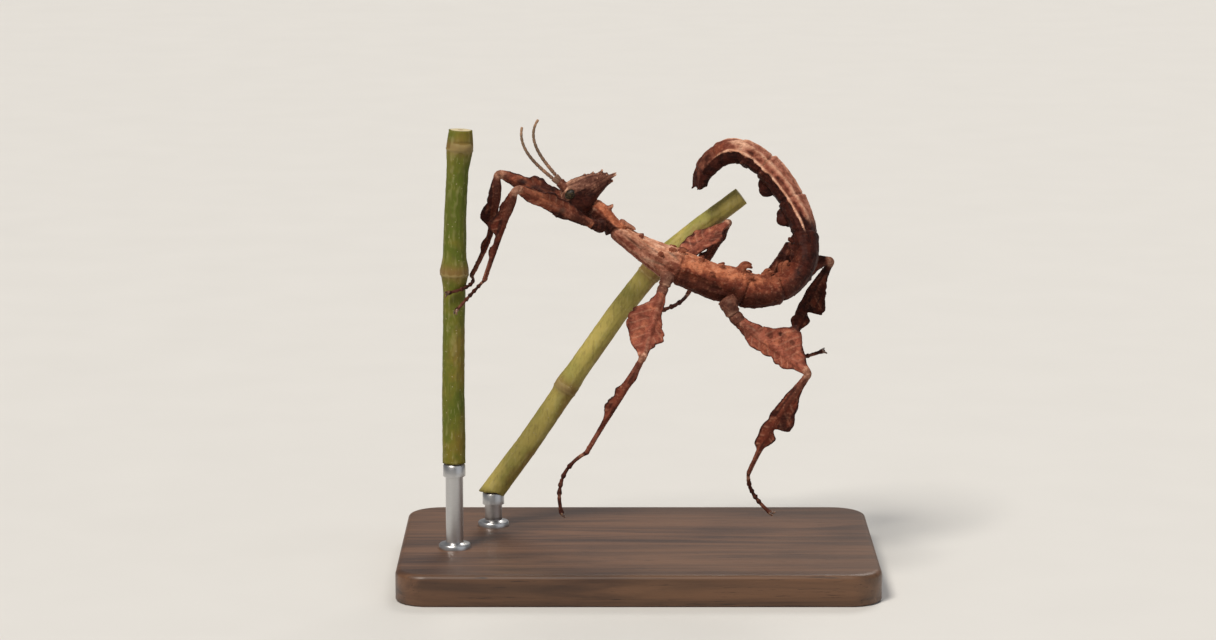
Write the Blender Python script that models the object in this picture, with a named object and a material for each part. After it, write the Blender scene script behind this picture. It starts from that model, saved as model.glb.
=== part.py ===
"""A young leaf-limbed stick insect, still and life size, on two cut twigs over a display base.

X runs from the head towards the tail, Y from the animal's left side to its right, and Z is up.
The tables are in millimetres and degrees, and each mesh is turned into metres when it is made.
The origin is the centre of the base's underside.
"""

import math

import bmesh
import bpy
from mathutils import Vector

MM = 0.001
GAP = 0.1
ACROSS = Vector((0.0, 1.0, 0.0))

# The body's midline starts at the neck, and turns evenly from one row to the next.
# arc length, pitch, lean to the right, roll, then the body's reach up, down and sideways
NECK = Vector((-6.06, -3.5, 47.24))
MIDLINE = [
    (0.0, -39, 0, 0, 1.15, 0.85, 0.85),
    (0.8, -39, 0, 0, 1.6, 1.1, 1.25),
    (2.2, -38, 0, 0, 1.45, 1.2, 1.3),
    (4.0, -37, 0, 0, 0.95, 1.3, 1.25),
    (5.6, -35, 0, 0, 0.85, 1.45, 1.3),
    (8.0, -32, 0, 0, 1.1, 1.75, 1.5),
    (12.2, -26, 0, 0, 1.75, 2.45, 2.2),
    (15.0, -19, 0, 0, 1.8, 2.5, 2.2),
    (18.1, -12, 0, 0, 1.45, 3.0, 2.35),
    (21.7, -24, 1, 0, 1.75, 3.0, 2.5),
    (25.4, 4, 11, 0, 1.9, 1.95, 2.6),
    (29.1, 44, 23, 3, 1.75, 1.5, 2.55),
    (32.9, 89, 26, 10, 1.6, 1.55, 2.4),
    (37.1, 110, 22, 18, 1.65, 1.35, 2.3),
    (41.7, 124, 16, 25, 1.7, 1.2, 2.15),
    (46.7, 147, 11, 28, 1.6, 1.35, 1.85),
    (50.3, 193, 9, 28, 1.05, 1.9, 1.6),
    (53.5, 228, 5, 28, 1.2, 1.25, 1.45),
    (56.4, 270, -4, 28, 0.65, 0.75, 1.0),
]
MIDLINE_STEP = 0.05
BODY_SIDES = 12
# where a segment's rings stand, as shares of its length, and the length from which it has more
SHORT_RINGS = (0.0, 0.12, 0.38, 0.78, 0.92, 1.0)
LONG_RINGS = (0.0, 0.1, 0.3, 0.5, 0.7, 0.8, 0.93, 1.0)
LONG_SEGMENT = 6.0
# share of a segment's length at which it has swollen to its full width
FULL_WIDTH = 0.9
# how far up a spine narrows first, and how narrow it is there
SPINE_WAIST = 0.45
WAIST_SIZE = 0.62
# name, arc length of its rear end, and how much wider its rear is than its front
SEGMENTS = [
    ("prothorax", 4.0, 0.0),
    ("mesothorax", 13.4, 0.0),
    ("metathorax", 22.0, 0.0),
    ("abdomen_2", 26.2, 0.05),
    ("abdomen_3", 30.2, 0.06),
    ("abdomen_4", 35.0, 0.07),
    ("abdomen_5", 39.9, 0.08),
    ("abdomen_6", 45.4, 0.08),
    ("abdomen_7", 48.8, 0.08),
    ("abdomen_8", 51.8, 0.08),
    ("abdomen_9", 54.4, 0.08),
    ("abdomen_10", 56.4, 0.0),
]
# segment, arc length, degrees round from the back, height, lean towards the tail, tip size
BODY_SPINES = [
    ("prothorax", 2.2, 15, 0.7, 0.1, 0.35),
    ("prothorax", 3.5, 15, 1.2, 1.2, 0.3),
    ("mesothorax", 8.2, 15, 0.4, 0.3, 0.4),
    ("mesothorax", 10.6, 75, 0.5, 0.4, 0.4),
    ("mesothorax", 12.6, 15, 0.45, 0.4, 0.4),
    ("metathorax", 15.8, 15, 0.4, 0.3, 0.4),
    ("metathorax", 17.6, 75, 0.5, 0.4, 0.4),
    ("metathorax", 21.0, 15, 1.2, -0.1, 0.4),
    ("abdomen_2", 24.6, 15, 0.5, 0.3, 0.4),
    ("abdomen_3", 28.2, 15, 0.8, 0.2, 0.4),
    ("abdomen_4", 33.4, 15, 0.9, 0.1, 0.4),
    ("abdomen_5", 38.0, 15, 1.3, 0.2, 0.6),
    ("abdomen_6", 43.2, 15, 1.5, 0.2, 0.6),
    ("abdomen_7", 47.8, 75, 0.5, 0.5, 0.4),
]

# The head is a leaning cone, wide at the face and drawn out to a spiny crown.
MOUTH = Vector((-9.15, -3.5, 47.85))
CROWN = Vector((-3.6, -3.5, 51.1))
# share of the way from the mouth to the crown, reach to the brow, to the throat and sideways
HEAD_PROFILE = [
    (0.0, 1.05, 1.1, 0.85),
    (0.1, 1.7, 1.55, 1.3),
    (0.25, 2.1, 1.75, 1.65),
    (0.45, 2.0, 1.55, 1.75),
    (0.65, 1.65, 1.35, 1.5),
    (0.82, 1.15, 1.05, 1.15),
    (0.94, 0.75, 0.75, 0.8),
    (1.0, 0.45, 0.45, 0.5),
]
# share of the way to the crown, degrees round from the brow, height, lean to the crown, tip
CROWN_SPINES = [
    (0.72, 15, 0.3, 0.4, 0.4),
    (0.88, 15, 0.6, 1.6, 0.3),
    (0.88, 75, 0.5, 0.7, 0.35),
    (0.97, 98, 1.1, 3.0, 0.25),
    (0.97, 135, 0.6, 1.2, 0.3),
]
# how far below the mouth's edge, then the reach to the brow, to the throat and sideways
MOUTHPARTS = [
    (GAP, 0.75, 0.75, 0.62),
    (0.45, 0.7, 0.65, 0.6),
    (0.85, 0.4, 0.35, 0.4),
]
MOUTH_DROP = 0.1
# a mouth feeler's root below the mouth, towards the throat and sideways
PALP_ROOT = (0.4, 0.6, 0.45)
PALP_LEAN = 0.5
PALP_LENGTH = 0.9
PALP_TIP = 0.6
# share of the way to the crown, and degrees round from the brow
EYE_PLACE = (0.2, 69)
EYE_RADIUS = 0.66
EYE_HEIGHT = 0.45
EYE_WIDTH = 0.88
# share of the eye's height, and its size there
EYE_DOME = [(0.0, 1.0), (0.4, 0.93), (0.75, 0.68), (0.95, 0.3)]
ANTENNA_LENGTH = 8.9
ANTENNA_RADIUS = 0.29
ANTENNA_STEPS = 12
SCAPE_RADIUS = 0.36
SCAPE_RINGS = 2
# how late along its length an antenna does its turning
ANTENNA_TURN = 2.5
# heading and rise at its base and at its tip, and the side it is on
ANTENNAE = {
    "antenna_left": ((186, 40), (186, 103), -1),
    "antenna_right": ((174, 49), (174, 126), 1),
}
ANTENNA_ROOT = Vector((-9.75, -3.5, 50.35))
ANTENNA_SPREAD = Vector((0.13, 0.62, 0.05))

# length of the femur, the tibia and the tarsus
LEG_LENGTHS = {
    "front": (13.0, 13.8, 6.4),
    "mid": (9.8, 13.9, 9.4),
    "hind": (12.3, 14.6, 7.0),
}
# share of the length, then the reach of the leaf's leading and trailing edges
FEMUR_EDGES = {
    "front": [
        (0.0, 0.5, 0.5), (0.08, 0.6, 0.7), (0.2, 0.85, 0.8), (0.3, 1.1, 0.95),
        (0.42, 1.2, 1.15), (0.5, 1.2, 0.9), (0.58, 1.55, 0.85), (0.66, 1.45, 0.9),
        (0.7, 0.95, 0.95), (0.83, 0.85, 0.95), (0.92, 0.75, 0.75), (1.0, 0.5, 0.5),
    ],
    "mid": [
        (0.0, 0.55, 0.6), (0.1, 0.9, 0.8), (0.24, 1.9, 0.8), (0.33, 2.75, 0.8),
        (0.46, 3.15, 1.2), (0.56, 3.2, 1.75), (0.67, 2.95, 1.9), (0.78, 2.2, 1.15),
        (0.86, 1.7, 0.65), (0.94, 1.0, 0.55), (1.0, 0.5, 0.5),
    ],
    "hind": [
        (0.0, 0.9, 0.8), (0.1, 1.0, 0.9), (0.19, 1.3, 1.0), (0.27, 1.65, 1.3),
        (0.37, 1.7, 1.75), (0.47, 1.5, 2.6), (0.56, 1.2, 3.35), (0.61, 1.5, 3.85),
        (0.64, 1.6, 3.75), (0.73, 1.55, 3.2), (0.84, 0.85, 1.75), (0.95, 0.6, 0.75),
        (1.0, 0.5, 0.5),
    ],
}
TIBIA_EDGES = {
    "front": [
        (0.0, 0.42, 0.42), (0.09, 0.8, 0.62), (0.2, 1.1, 0.6), (0.3, 1.4, 0.42),
        (0.4, 1.75, 0.4), (0.45, 1.65, 0.4), (0.5, 0.5, 0.38), (0.6, 0.4, 0.36),
        (0.66, 0.7, 0.35), (0.71, 0.65, 0.35), (0.75, 0.35, 0.33), (0.88, 0.3, 0.3),
        (1.0, 0.32, 0.32),
    ],
    "mid": [
        (0.0, 0.4, 0.4), (0.1, 0.42, 0.5), (0.18, 0.46, 0.72), (0.29, 0.58, 0.5),
        (0.35, 0.98, 0.5), (0.42, 0.66, 0.48), (0.48, 1.16, 0.45), (0.54, 1.14, 0.45),
        (0.6, 0.62, 0.42), (0.65, 0.38, 0.38), (0.82, 0.3, 0.3), (1.0, 0.32, 0.32),
    ],
    "hind": [
        (0.0, 0.4, 0.42), (0.12, 0.55, 0.6), (0.25, 0.8, 1.1), (0.36, 0.95, 1.75),
        (0.45, 1.0, 2.3), (0.51, 1.05, 2.15), (0.56, 1.1, 0.6), (0.62, 1.15, 1.15),
        (0.67, 1.2, 1.05), (0.74, 1.2, 0.42), (0.78, 0.4, 0.34), (0.9, 0.3, 0.3),
        (1.0, 0.32, 0.32),
    ],
}
FEMUR_RIB = (0.55, 0.45)
TIBIA_RIB = (0.42, 0.3)
LEAF_HALF_THICKNESS = 0.25
# an edge is never thicker than this share of its rib
THINNEST_RIB = 0.85
# a leaf's section stays round for this share of its rib's radius to each side
RIB_SHOULDER = 0.5
KNEE_BEND = 0.45
KNEE_STEPS = 4
COXA_RADIUS = {"front": (0.76, 0.58), "mid": (0.78, 0.6), "hind": (1.0, 0.78)}
COXA_SHARES = (0.0, 0.33, 0.67, 1.0)
TARSOMERES = 5
TARSUS_RADIUS = 0.3
# a foot is wide in the middle of each of its joints and narrow between them
WIDE_JOINT = 1.12
NARROW_JOINT = 0.92
# a claw's root behind the foot's tip and beside it, how it spreads, its length and its tip
CLAW_ROOT = (0.2, 0.3)
CLAW_SPREAD = 0.9
CLAW_LENGTH = 0.55
CLAW_TIP = 0.4
COXA_SIDES = 10
FOOT_SIDES = 8
MOUTH_SIDES = 8
ANTENNA_SIDES = 6
# arc length of the hip, its place sideways and up from the midline, the coxa's heading, rise
# and length, then the headings and rises of the femur, the tibia and the tarsus's two ends,
# how far the leaves of the femur and the tibia are turned about their ribs, and how far the
# tibia bows towards its leading edge
LEGS = {
    "front_left": (2.4, -1.4, -0.8, (-133, 15), 1.9, (-140, 25), (129, -62),
                   (109, -25), (206, -43), 0, 0, 0.0),
    "front_right": (2.4, 1.4, -0.6, (146, 28), 2.25, (159, 19.5), (-121, -63),
                    (-72, -10), (-172, -10), 0, 0, -1.0),
    "mid_left": (12.5, -2.0, -1.6, (-121, -51), 2.55, (-110, -45), (171, -60),
                 (164, -30), (163, -107), 0, 0, 0.0),
    "mid_right": (12.5, 2.2, -1.2, (47, 1), 2.0, (40, 30), (125, -50),
                  (-105, -15), (-180, -5), 118, 0, 0.0),
    "hind_left": (20.4, -2.15, -2.4, (-36, -51), 3.0, (-43, -24), (174, -60),
                  (97, -48), (-18, -36), 0, 0, 0.45),
    "hind_right": (20.4, 2.3, -1.6, (34, -6), 2.45, (16, 16.5), (137, -62),
                   (-98, -8), (18, 17), 0, 15, 0.45),
}

# place along the cut twig, from its lower end to its upper one, and the radius there
STEM_LINE = [
    ((-23.1, -4.4, 15.0), 1.45),
    ((-23.15, -4.4, 24.0), 1.4),
    ((-23.0, -4.4, 33.0), 1.35),
    ((-22.9, -4.4, 37.5), 1.4),
    ((-22.85, -4.4, 39.4), 1.85),
    ((-22.85, -4.4, 41.0), 1.45),
    ((-22.75, -4.4, 46.0), 1.35),
    ((-22.4, -4.4, 52.0), 1.35),
    ((-22.1, -4.4, 55.0), 1.7),
    ((-22.0, -4.4, 57.0), 1.45),
]
BRANCH_LINE = [
    ((-18.6, 8.0, 8.6), 1.5),
    ((-14.2, 8.0, 14.6), 1.45),
    ((-9.8, 8.0, 21.2), 1.4),
    ((-8.9, 8.0, 22.7), 1.6),
    ((-8.0, 8.0, 24.0), 1.4),
    ((-2.6, 8.0, 31.8), 1.35),
    ((1.3, 8.0, 36.8), 1.4),
    ((2.2, 8.0, 37.9), 1.65),
    ((3.2, 8.0, 39.0), 1.4),
    ((7.8, 8.0, 42.9), 1.25),
    ((13.2, 8.0, 47.0), 1.2),
]
TWIG_SIDES = 12
BASE_SIZE = (60.0, 38.0, 4.0)
BASE_CORNER = 4.0
CORNER_STEPS = 5
QUARTER_CIRCLE = 0.5
BASE_EDGE = 0.6
EDGE_STEPS = 2
ROD_RADIUS = 1.1
ROD_SIDES = 16

# base colour, roughness and metallic
FINISHES = {
    "cuticle": ((0.28, 0.11, 0.06), 0.6, 0.0),
    "leaf": ((0.22, 0.08, 0.055), 0.6, 0.0),
    "eye": ((0.03, 0.03, 0.025), 0.15, 0.0),
    "twig": ((0.22, 0.28, 0.06), 0.55, 0.0),
    "wood": ((0.06, 0.035, 0.02), 0.4, 0.0),
    "steel": ((0.55, 0.55, 0.56), 0.3, 1.0),
}
SHARP_EDGE = 35
ANIMAL = "insect"
DISPLAY = "display"


def material(name, finish):
    """Make one plain surface finish."""
    colour, roughness, metallic = FINISHES[finish]
    made = bpy.data.materials.new(name)
    made.use_nodes = True
    shader = made.node_tree.nodes["Principled BSDF"]
    shader.inputs["Base Color"].default_value = (*colour, 1.0)
    shader.inputs["Roughness"].default_value = roughness
    shader.inputs["Metallic"].default_value = metallic
    return made


def make_group(name):
    """Add the empty that holds the objects of the animal or of its display together."""
    group = bpy.data.objects.new(name, None)
    bpy.context.scene.collection.objects.link(group)


def make_object(name, bm, finish, origin, group=ANIMAL):
    """Turn a mesh in millimetres into a named object in metres, placed by its own origin."""
    origin = Vector(origin)
    bmesh.ops.recalc_face_normals(bm, faces=bm.faces)
    bmesh.ops.translate(bm, vec=-origin, verts=bm.verts)
    bmesh.ops.scale(bm, vec=(MM, MM, MM), verts=bm.verts)
    mesh = bpy.data.meshes.new(name)
    bm.to_mesh(mesh)
    bm.free()
    mesh.shade_smooth()
    mesh.set_sharp_from_angle(angle=math.radians(SHARP_EDGE))
    made = bpy.data.objects.new(name, mesh)
    made.data.materials.append(material(name + "_finish", finish))
    made.location = origin * MM
    made.parent = bpy.data.objects[group]
    bpy.context.scene.collection.objects.link(made)


def direction(heading, rise):
    """Turn a heading round Z and a rise above level into a unit vector."""
    turned, raised = math.radians(heading), math.radians(rise)
    level = math.cos(raised)
    return Vector((level * math.cos(turned), level * math.sin(turned), math.sin(raised)))


def table_row(table, where):
    """Read a table at any place by going evenly between its rows."""
    for low, high in zip(table, table[1:]):
        if where <= high[0]:
            break
    share = min(max((where - low[0]) / (high[0] - low[0]), 0.0), 1.0)
    return [a + (b - a) * share for a, b in zip(low[1:], high[1:])]


def walk_midline():
    """Follow the midline's pitch and lean from the neck to the tail, in small steps."""
    place = NECK.copy()
    places = [place.copy()]
    for step in range(round(MIDLINE[-1][0] / MIDLINE_STEP)):
        pitch, lean = table_row(MIDLINE, (step + 0.5) * MIDLINE_STEP)[:2]
        pitch, lean = math.radians(pitch), math.radians(lean)
        onward = (math.cos(pitch) * math.cos(lean), math.sin(lean), math.sin(pitch) * math.cos(lean))
        place = place + Vector(onward) * MIDLINE_STEP
        places.append(place.copy())
    return places


MIDLINE_PLACES = walk_midline()


def body_frame(arc):
    """Give the midline's place at an arc length, with the ways onward, to the left and up."""
    step = min(int(arc / MIDLINE_STEP), len(MIDLINE_PLACES) - 2)
    before, after = MIDLINE_PLACES[step], MIDLINE_PLACES[step + 1]
    onward = (after - before).normalized()
    left = (-ACROSS + onward * onward.dot(ACROSS)).normalized()
    back = left.cross(onward)
    roll = math.radians(table_row(MIDLINE, arc)[2])
    turned_back = back * math.cos(roll) - left * math.sin(roll)
    turned_left = left * math.cos(roll) + back * math.sin(roll)
    place = before + onward * (arc - step * MIDLINE_STEP)
    return place, onward, turned_left, turned_back


def oval(place, left, up, above, below, aside, sides=BODY_SIDES):
    """Give a ring of points round a place, with its own reach up, down and sideways."""
    ring = []
    for number in range(sides):
        angle = 2 * math.pi * number / sides
        tall = above if math.cos(angle) > 0 else below
        ring.append(place + up * (tall * math.cos(angle)) + left * (aside * math.sin(angle)))
    return ring


def leaf(place, lead, flat, ahead, behind, rib):
    """Give the eight points of a ribbed leaf's section, from its leading to its trailing edge."""
    thin = min(LEAF_HALF_THICKNESS, THINNEST_RIB * rib)
    shoulder = RIB_SHOULDER * rib
    outline = [
        (max(ahead, rib), thin), (shoulder, rib), (-shoulder, rib), (-max(behind, rib), thin),
        (-max(behind, rib), -thin), (-shoulder, -rib), (shoulder, -rib), (max(ahead, rib), -thin),
    ]
    return [place + lead * across + flat * deep for across, deep in outline]


def skin_rings(rings):
    """Join rings of points into one closed mesh with a flat cap at each end."""
    bm = bmesh.new()
    loops = [[bm.verts.new(point) for point in ring] for ring in rings]
    for near, far in zip(loops, loops[1:]):
        count = len(near)
        for number in range(count):
            after = (number + 1) % count
            bm.faces.new((near[number], near[after], far[after], far[number]))
    bm.faces.new(loops[0][::-1])
    bm.faces.new(loops[-1])
    bm.normal_update()
    return bm


def grow_spine(bm, root, way, height, tip):
    """Draw the face nearest to a place out into a spine, in two steps that narrow to its tip."""
    side_faces = [face for face in bm.faces if len(face.verts) == 4]
    face = min(side_faces, key=lambda one: (one.calc_center_median() - root).length)
    middle = face.calc_center_median()
    for share, size in ((SPINE_WAIST, WAIST_SIZE), (1.0, tip / WAIST_SIZE)):
        grown = bmesh.ops.extrude_discrete_faces(bm, faces=[face])["faces"][0]
        start = grown.calc_center_median()
        goal = middle + way * (height * share)
        for corner in grown.verts:
            corner.co = goal + (corner.co - start) * size
        face = grown
    bm.normal_update()


def make_body_segment(name, start, end, flare):
    """Make one length of the body, with its spines drawn out of its back and flanks."""
    shares = SHORT_RINGS if end - start < LONG_SEGMENT else LONG_RINGS
    first = start + (GAP / 2 if start > 0 else 0.0)
    last = end - (GAP / 2 if end < MIDLINE[-1][0] else 0.0)
    rings = []
    for share in shares:
        arc = first + (last - first) * share
        place, _, left, up = body_frame(arc)
        above, below, aside = table_row(MIDLINE, arc)[3:]
        swell = 1 - flare / 2 + flare * min(share / FULL_WIDTH, 1.0)
        rings.append(oval(place, left, up, above * swell, below * swell, aside * swell))
    bm = skin_rings(rings)
    for owner, arc, degrees, height, lean, tip in BODY_SPINES:
        if owner != name:
            continue
        place, onward, left, up = body_frame(arc)
        above, _, aside = table_row(MIDLINE, arc)[3:]
        for side in (-1, 1):
            angle = math.radians(degrees) * side
            out = up * math.cos(angle) + left * math.sin(angle)
            root = place + up * (above * math.cos(angle)) + left * (aside * math.sin(angle))
            grow_spine(bm, root, (out + onward * lean).normalized(), height, tip)
    make_object(name, bm, "cuticle", body_frame(first)[0])


def make_body():
    """Make the thorax and the abdomen, segment by segment."""
    start = 0.0
    for name, end, flare in SEGMENTS:
        make_body_segment(name, start, end, flare)
        start = end


def head_frame(share):
    """Give the head's axis place, with the ways to the crown, to the left and to the brow."""
    onward = (CROWN - MOUTH).normalized()
    left = -ACROSS
    return MOUTH.lerp(CROWN, share), onward, left, left.cross(onward)


def head_surface(share, degrees):
    """Give a place on the head's surface and the way out of it."""
    place, _, left, brow = head_frame(share)
    above, _, aside = table_row(HEAD_PROFILE, share)
    angle = math.radians(degrees)
    root = place + brow * (above * math.cos(angle)) + left * (aside * math.sin(angle))
    return root, (brow * math.cos(angle) + left * math.sin(angle)).normalized()


def make_head():
    """Make the head cone and the crown of spines at its top."""
    rings = []
    for share, above, below, aside in HEAD_PROFILE:
        place, _, left, brow = head_frame(share)
        rings.append(oval(place, left, brow, above, below, aside))
    bm = skin_rings(rings)
    for share, degrees, height, lean, tip in CROWN_SPINES:
        for side in (-1, 1):
            root, out = head_surface(share, degrees * side)
            onward = head_frame(share)[1]
            grow_spine(bm, root, (out + onward * lean).normalized(), height, tip)
    make_object("head", bm, "cuticle", NECK)


def make_mouthparts():
    """Make the upper lip and the short feelers beside the mouth as one blunt wedge."""
    place, onward, left, brow = head_frame(0.0)
    rings = []
    for reach, above, below, aside in MOUTHPARTS:
        middle = place - onward * reach - brow * MOUTH_DROP
        rings.append(oval(middle, left, brow, above, below, aside, MOUTH_SIDES))
    bm = skin_rings(rings)
    down, back, aside = PALP_ROOT
    for side in (-1, 1):
        root = place - onward * down - brow * back + left * (aside * side)
        way = -brow - onward * PALP_LEAN + left * (PALP_LEAN * side)
        grow_spine(bm, root, way.normalized(), PALP_LENGTH, PALP_TIP)
    make_object("mouthparts", bm, "cuticle", place)


def make_eye(name, side):
    """Make one eye as a low dome that stands on the side of the head."""
    share, degrees = EYE_PLACE
    root, out = head_surface(share, degrees * side)
    along = (head_frame(share)[1] - out * out.dot(head_frame(share)[1])).normalized()
    over = out.cross(along)
    rings = []
    for raised, wide in EYE_DOME:
        centre = root + out * (1.5 * GAP + EYE_HEIGHT * raised)
        size = EYE_RADIUS * wide
        rings.append(oval(centre, over, along, size, size, size * EYE_WIDTH))
    make_object(name, skin_rings(rings), "eye", root)


def curl(start, first_way, last_way, length, steps, late):
    """Follow a path that turns from one direction to another, the later the higher late is."""
    places = [start]
    for number in range(steps):
        share = ((number + 0.5) / steps) ** late
        way = first_way.lerp(last_way, share).normalized()
        places.append(places[-1] + way * (length / steps))
    return places


def carried_frames(places, lead, first_way=None):
    """Carry a sideways direction along a path without twisting it about the path."""
    frames = []
    for number, place in enumerate(places):
        before = places[max(number - 1, 0)]
        after = places[min(number + 1, len(places) - 1)]
        way = (after - before).normalized()
        if number == 0 and first_way is not None:
            way = first_way
        lead = (lead - way * way.dot(lead)).normalized()
        frames.append((place, way, lead, way.cross(lead)))
    return frames


def make_antenna(name, first, last, side):
    """Make one antenna as a thin tapering tube on a thicker first joint."""
    start = ANTENNA_ROOT + ANTENNA_SPREAD * side
    ways = direction(*first), direction(*last)
    places = curl(start, *ways, ANTENNA_LENGTH, ANTENNA_STEPS, ANTENNA_TURN)
    rings = []
    for number, (place, _, lead, flat) in enumerate(carried_frames(places, ACROSS)):
        size = SCAPE_RADIUS if number < SCAPE_RINGS else ANTENNA_RADIUS
        rings.append(oval(place, lead, flat, size, size, size, ANTENNA_SIDES))
    make_object(name, skin_rings(rings), "cuticle", start)


def leaf_frame(way, turn):
    """Give a leaf's leading edge and flat side, square to its rib and turned about it."""
    lead = ACROSS.cross(way).normalized()
    flat = way.cross(lead)
    angle = math.radians(turn)
    turned = lead * math.cos(angle) + flat * math.sin(angle)
    return turned, way.cross(turned)


def leaf_rings(start, end, edges, rib, turn, bow=0.0):
    """Give the rings of a ribbed leaf from one place to another, bowed to its leading edge."""
    way = (end - start).normalized()
    lead, flat = leaf_frame(way, turn)
    rings = []
    for share, ahead, behind in edges:
        place = start.lerp(end, share) + lead * (bow * math.sin(math.pi * share))
        size = rib[0] + (rib[1] - rib[0]) * share
        rings.append(leaf(place, lead, flat, ahead, behind, size))
    return rings


def knee_rings(corner, first_way, last_way, turns, size):
    """Give the round rings of a knee that turns from one direction to another."""
    angle = first_way.angle(last_way)
    reach = KNEE_BEND * math.tan(angle / 2)
    inward = (last_way - first_way * first_way.dot(last_way)).normalized()
    start = corner - first_way * reach
    hub = start + inward * KNEE_BEND
    first_lead = leaf_frame(first_way, turns[0])[0]
    last_lead = leaf_frame(last_way, turns[1])[0]
    rings = []
    for number in range(KNEE_STEPS):
        turned = angle * number / KNEE_STEPS
        outward = first_way * math.sin(turned) - inward * math.cos(turned)
        place = hub + outward * KNEE_BEND
        way = first_way * math.cos(turned) + inward * math.sin(turned)
        lead = first_lead.lerp(last_lead, number / KNEE_STEPS)
        lead = (lead - way * way.dot(lead)).normalized()
        rings.append(leaf(place, lead, way.cross(lead), size, size, size))
    return rings, reach


def make_coxa(name, root, out, end, way, widths):
    """Make the short bent joint between the body's flank and the femur."""
    rings = []
    reach = (end - root).length
    lead = leaf_frame(way, 0)[0]
    for share in COXA_SHARES:
        bend = share * (1 - share)
        place = root.lerp(end, share) + (out * (1 - share) - way * share) * (bend * reach)
        onward = out.lerp(way, share).normalized()
        side = (lead - onward * onward.dot(lead)).normalized()
        size = widths[0] + (widths[1] - widths[0]) * share
        rings.append(oval(place, side, onward.cross(side), size, size, size, COXA_SIDES))
    make_object(name, skin_rings(rings), "cuticle", root)


def make_tarsus(name, start, tibia_way, first_way, last_way, length):
    """Make the jointed foot with a pair of claws at its tip."""
    places = curl(start + tibia_way * GAP, first_way, last_way, length, 2 * TARSOMERES, 1.0)
    frames = carried_frames(places, leaf_frame(tibia_way, 0)[0], tibia_way)
    rings = []
    for number, (place, _, lead, flat) in enumerate(frames):
        size = TARSUS_RADIUS * (WIDE_JOINT if number % 2 == 0 else NARROW_JOINT)
        rings.append(oval(place, lead, flat, size, size, size, FOOT_SIDES))
    bm = skin_rings(rings)
    place, way, lead, flat = frames[-1]
    behind, beside = CLAW_ROOT
    for side in (-1, 1):
        root = place - way * behind + flat * (beside * side)
        spread = (way + flat * (CLAW_SPREAD * side)).normalized()
        grow_spine(bm, root, spread, CLAW_LENGTH, CLAW_TIP)
    make_object(name, bm, "leaf", start)


def make_leg(name):
    """Make one leg from the flank outwards: coxa, femur, tibia and tarsus."""
    arc, aside, up, coxa_way, coxa_length, femur, tibia, foot, toe, *turns, bow = LEGS[name]
    pair = name.split("_")[0]
    femur_length, tibia_length, tarsus_length = LEG_LENGTHS[pair]
    place, _, left, back = body_frame(arc)
    out = left if aside < 0 else -left
    root = place + out * abs(aside) + back * up
    femur_start = root + direction(*coxa_way) * coxa_length
    femur_way, tibia_way = direction(*femur), direction(*tibia)
    knee = femur_start + femur_way * femur_length
    ankle = knee + tibia_way * tibia_length
    coxa_end = femur_start - femur_way * GAP
    make_coxa("coxa_" + name, root, out, coxa_end, femur_way, COXA_RADIUS[pair])
    bend, reach = knee_rings(knee, femur_way, tibia_way, turns, TIBIA_RIB[0])
    femur_end = knee - femur_way * (reach + 1.5 * GAP)
    femur_rings = leaf_rings(femur_start, femur_end, FEMUR_EDGES[pair], FEMUR_RIB, turns[0])
    make_object("femur_" + name, skin_rings(femur_rings), "leaf", femur_start)
    shin = leaf_rings(knee + tibia_way * reach, ankle, TIBIA_EDGES[pair], TIBIA_RIB, turns[1], bow)
    make_object("tibia_" + name, skin_rings(bend + shin), "leaf", knee)
    make_tarsus("tarsus_" + name, ankle, tibia_way, direction(*foot), direction(*toe), tarsus_length)


def level_cut(ring, way, height):
    """Slide a ring's points along its twig until they all lie at one height."""
    return [point + way * ((height - point.z) / way.z) for point in ring]


def make_twig(name, line):
    """Make one cut twig, level at its lower end so that it stands on its rod."""
    places = [Vector(place) for place, _ in line]
    rings = []
    for number, (place, way, lead, flat) in enumerate(carried_frames(places, ACROSS)):
        size = line[number][1]
        ring = oval(place, lead, flat, size, size, size, TWIG_SIDES)
        rings.append(level_cut(ring, way, place.z) if number == 0 else ring)
    make_object(name, skin_rings(rings), "twig", places[0], DISPLAY)


def make_rod(name, foot, top):
    """Make one upright rod from the base's top to the cut end of a twig."""
    bm = bmesh.new()
    low = BASE_SIZE[2] + GAP
    high = top - GAP
    made = bmesh.ops.create_cone(
        bm, cap_ends=True, segments=ROD_SIDES, radius1=ROD_RADIUS, radius2=ROD_RADIUS, depth=high - low
    )
    bmesh.ops.translate(bm, vec=(foot[0], foot[1], (low + high) / 2), verts=made["verts"])
    make_object(name, bm, "steel", (foot[0], foot[1], low), DISPLAY)


def round_edges(bm, edges, offset, steps):
    """Round some edges off with quarter circles."""
    bmesh.ops.bevel(
        bm, geom=edges, offset=offset, segments=steps, profile=QUARTER_CIRCLE, affect="EDGES"
    )


def make_base():
    """Make the flat base with round corners and a softened top edge."""
    long, wide, thick = BASE_SIZE
    bm = bmesh.new()
    bmesh.ops.create_cube(bm, size=1.0)
    bmesh.ops.scale(bm, vec=BASE_SIZE, verts=bm.verts)
    bmesh.ops.translate(bm, vec=(0, 0, thick / 2), verts=bm.verts)
    upright = [edge for edge in bm.edges if abs(edge.verts[0].co.z - edge.verts[1].co.z) > thick / 2]
    round_edges(bm, upright, BASE_CORNER, CORNER_STEPS)
    rim = [edge for edge in bm.edges if all(vert.co.z > thick * 0.99 for vert in edge.verts)]
    round_edges(bm, rim, BASE_EDGE, EDGE_STEPS)
    make_object("stand_base", bm, "wood", (0, 0, 0), DISPLAY)


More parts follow.
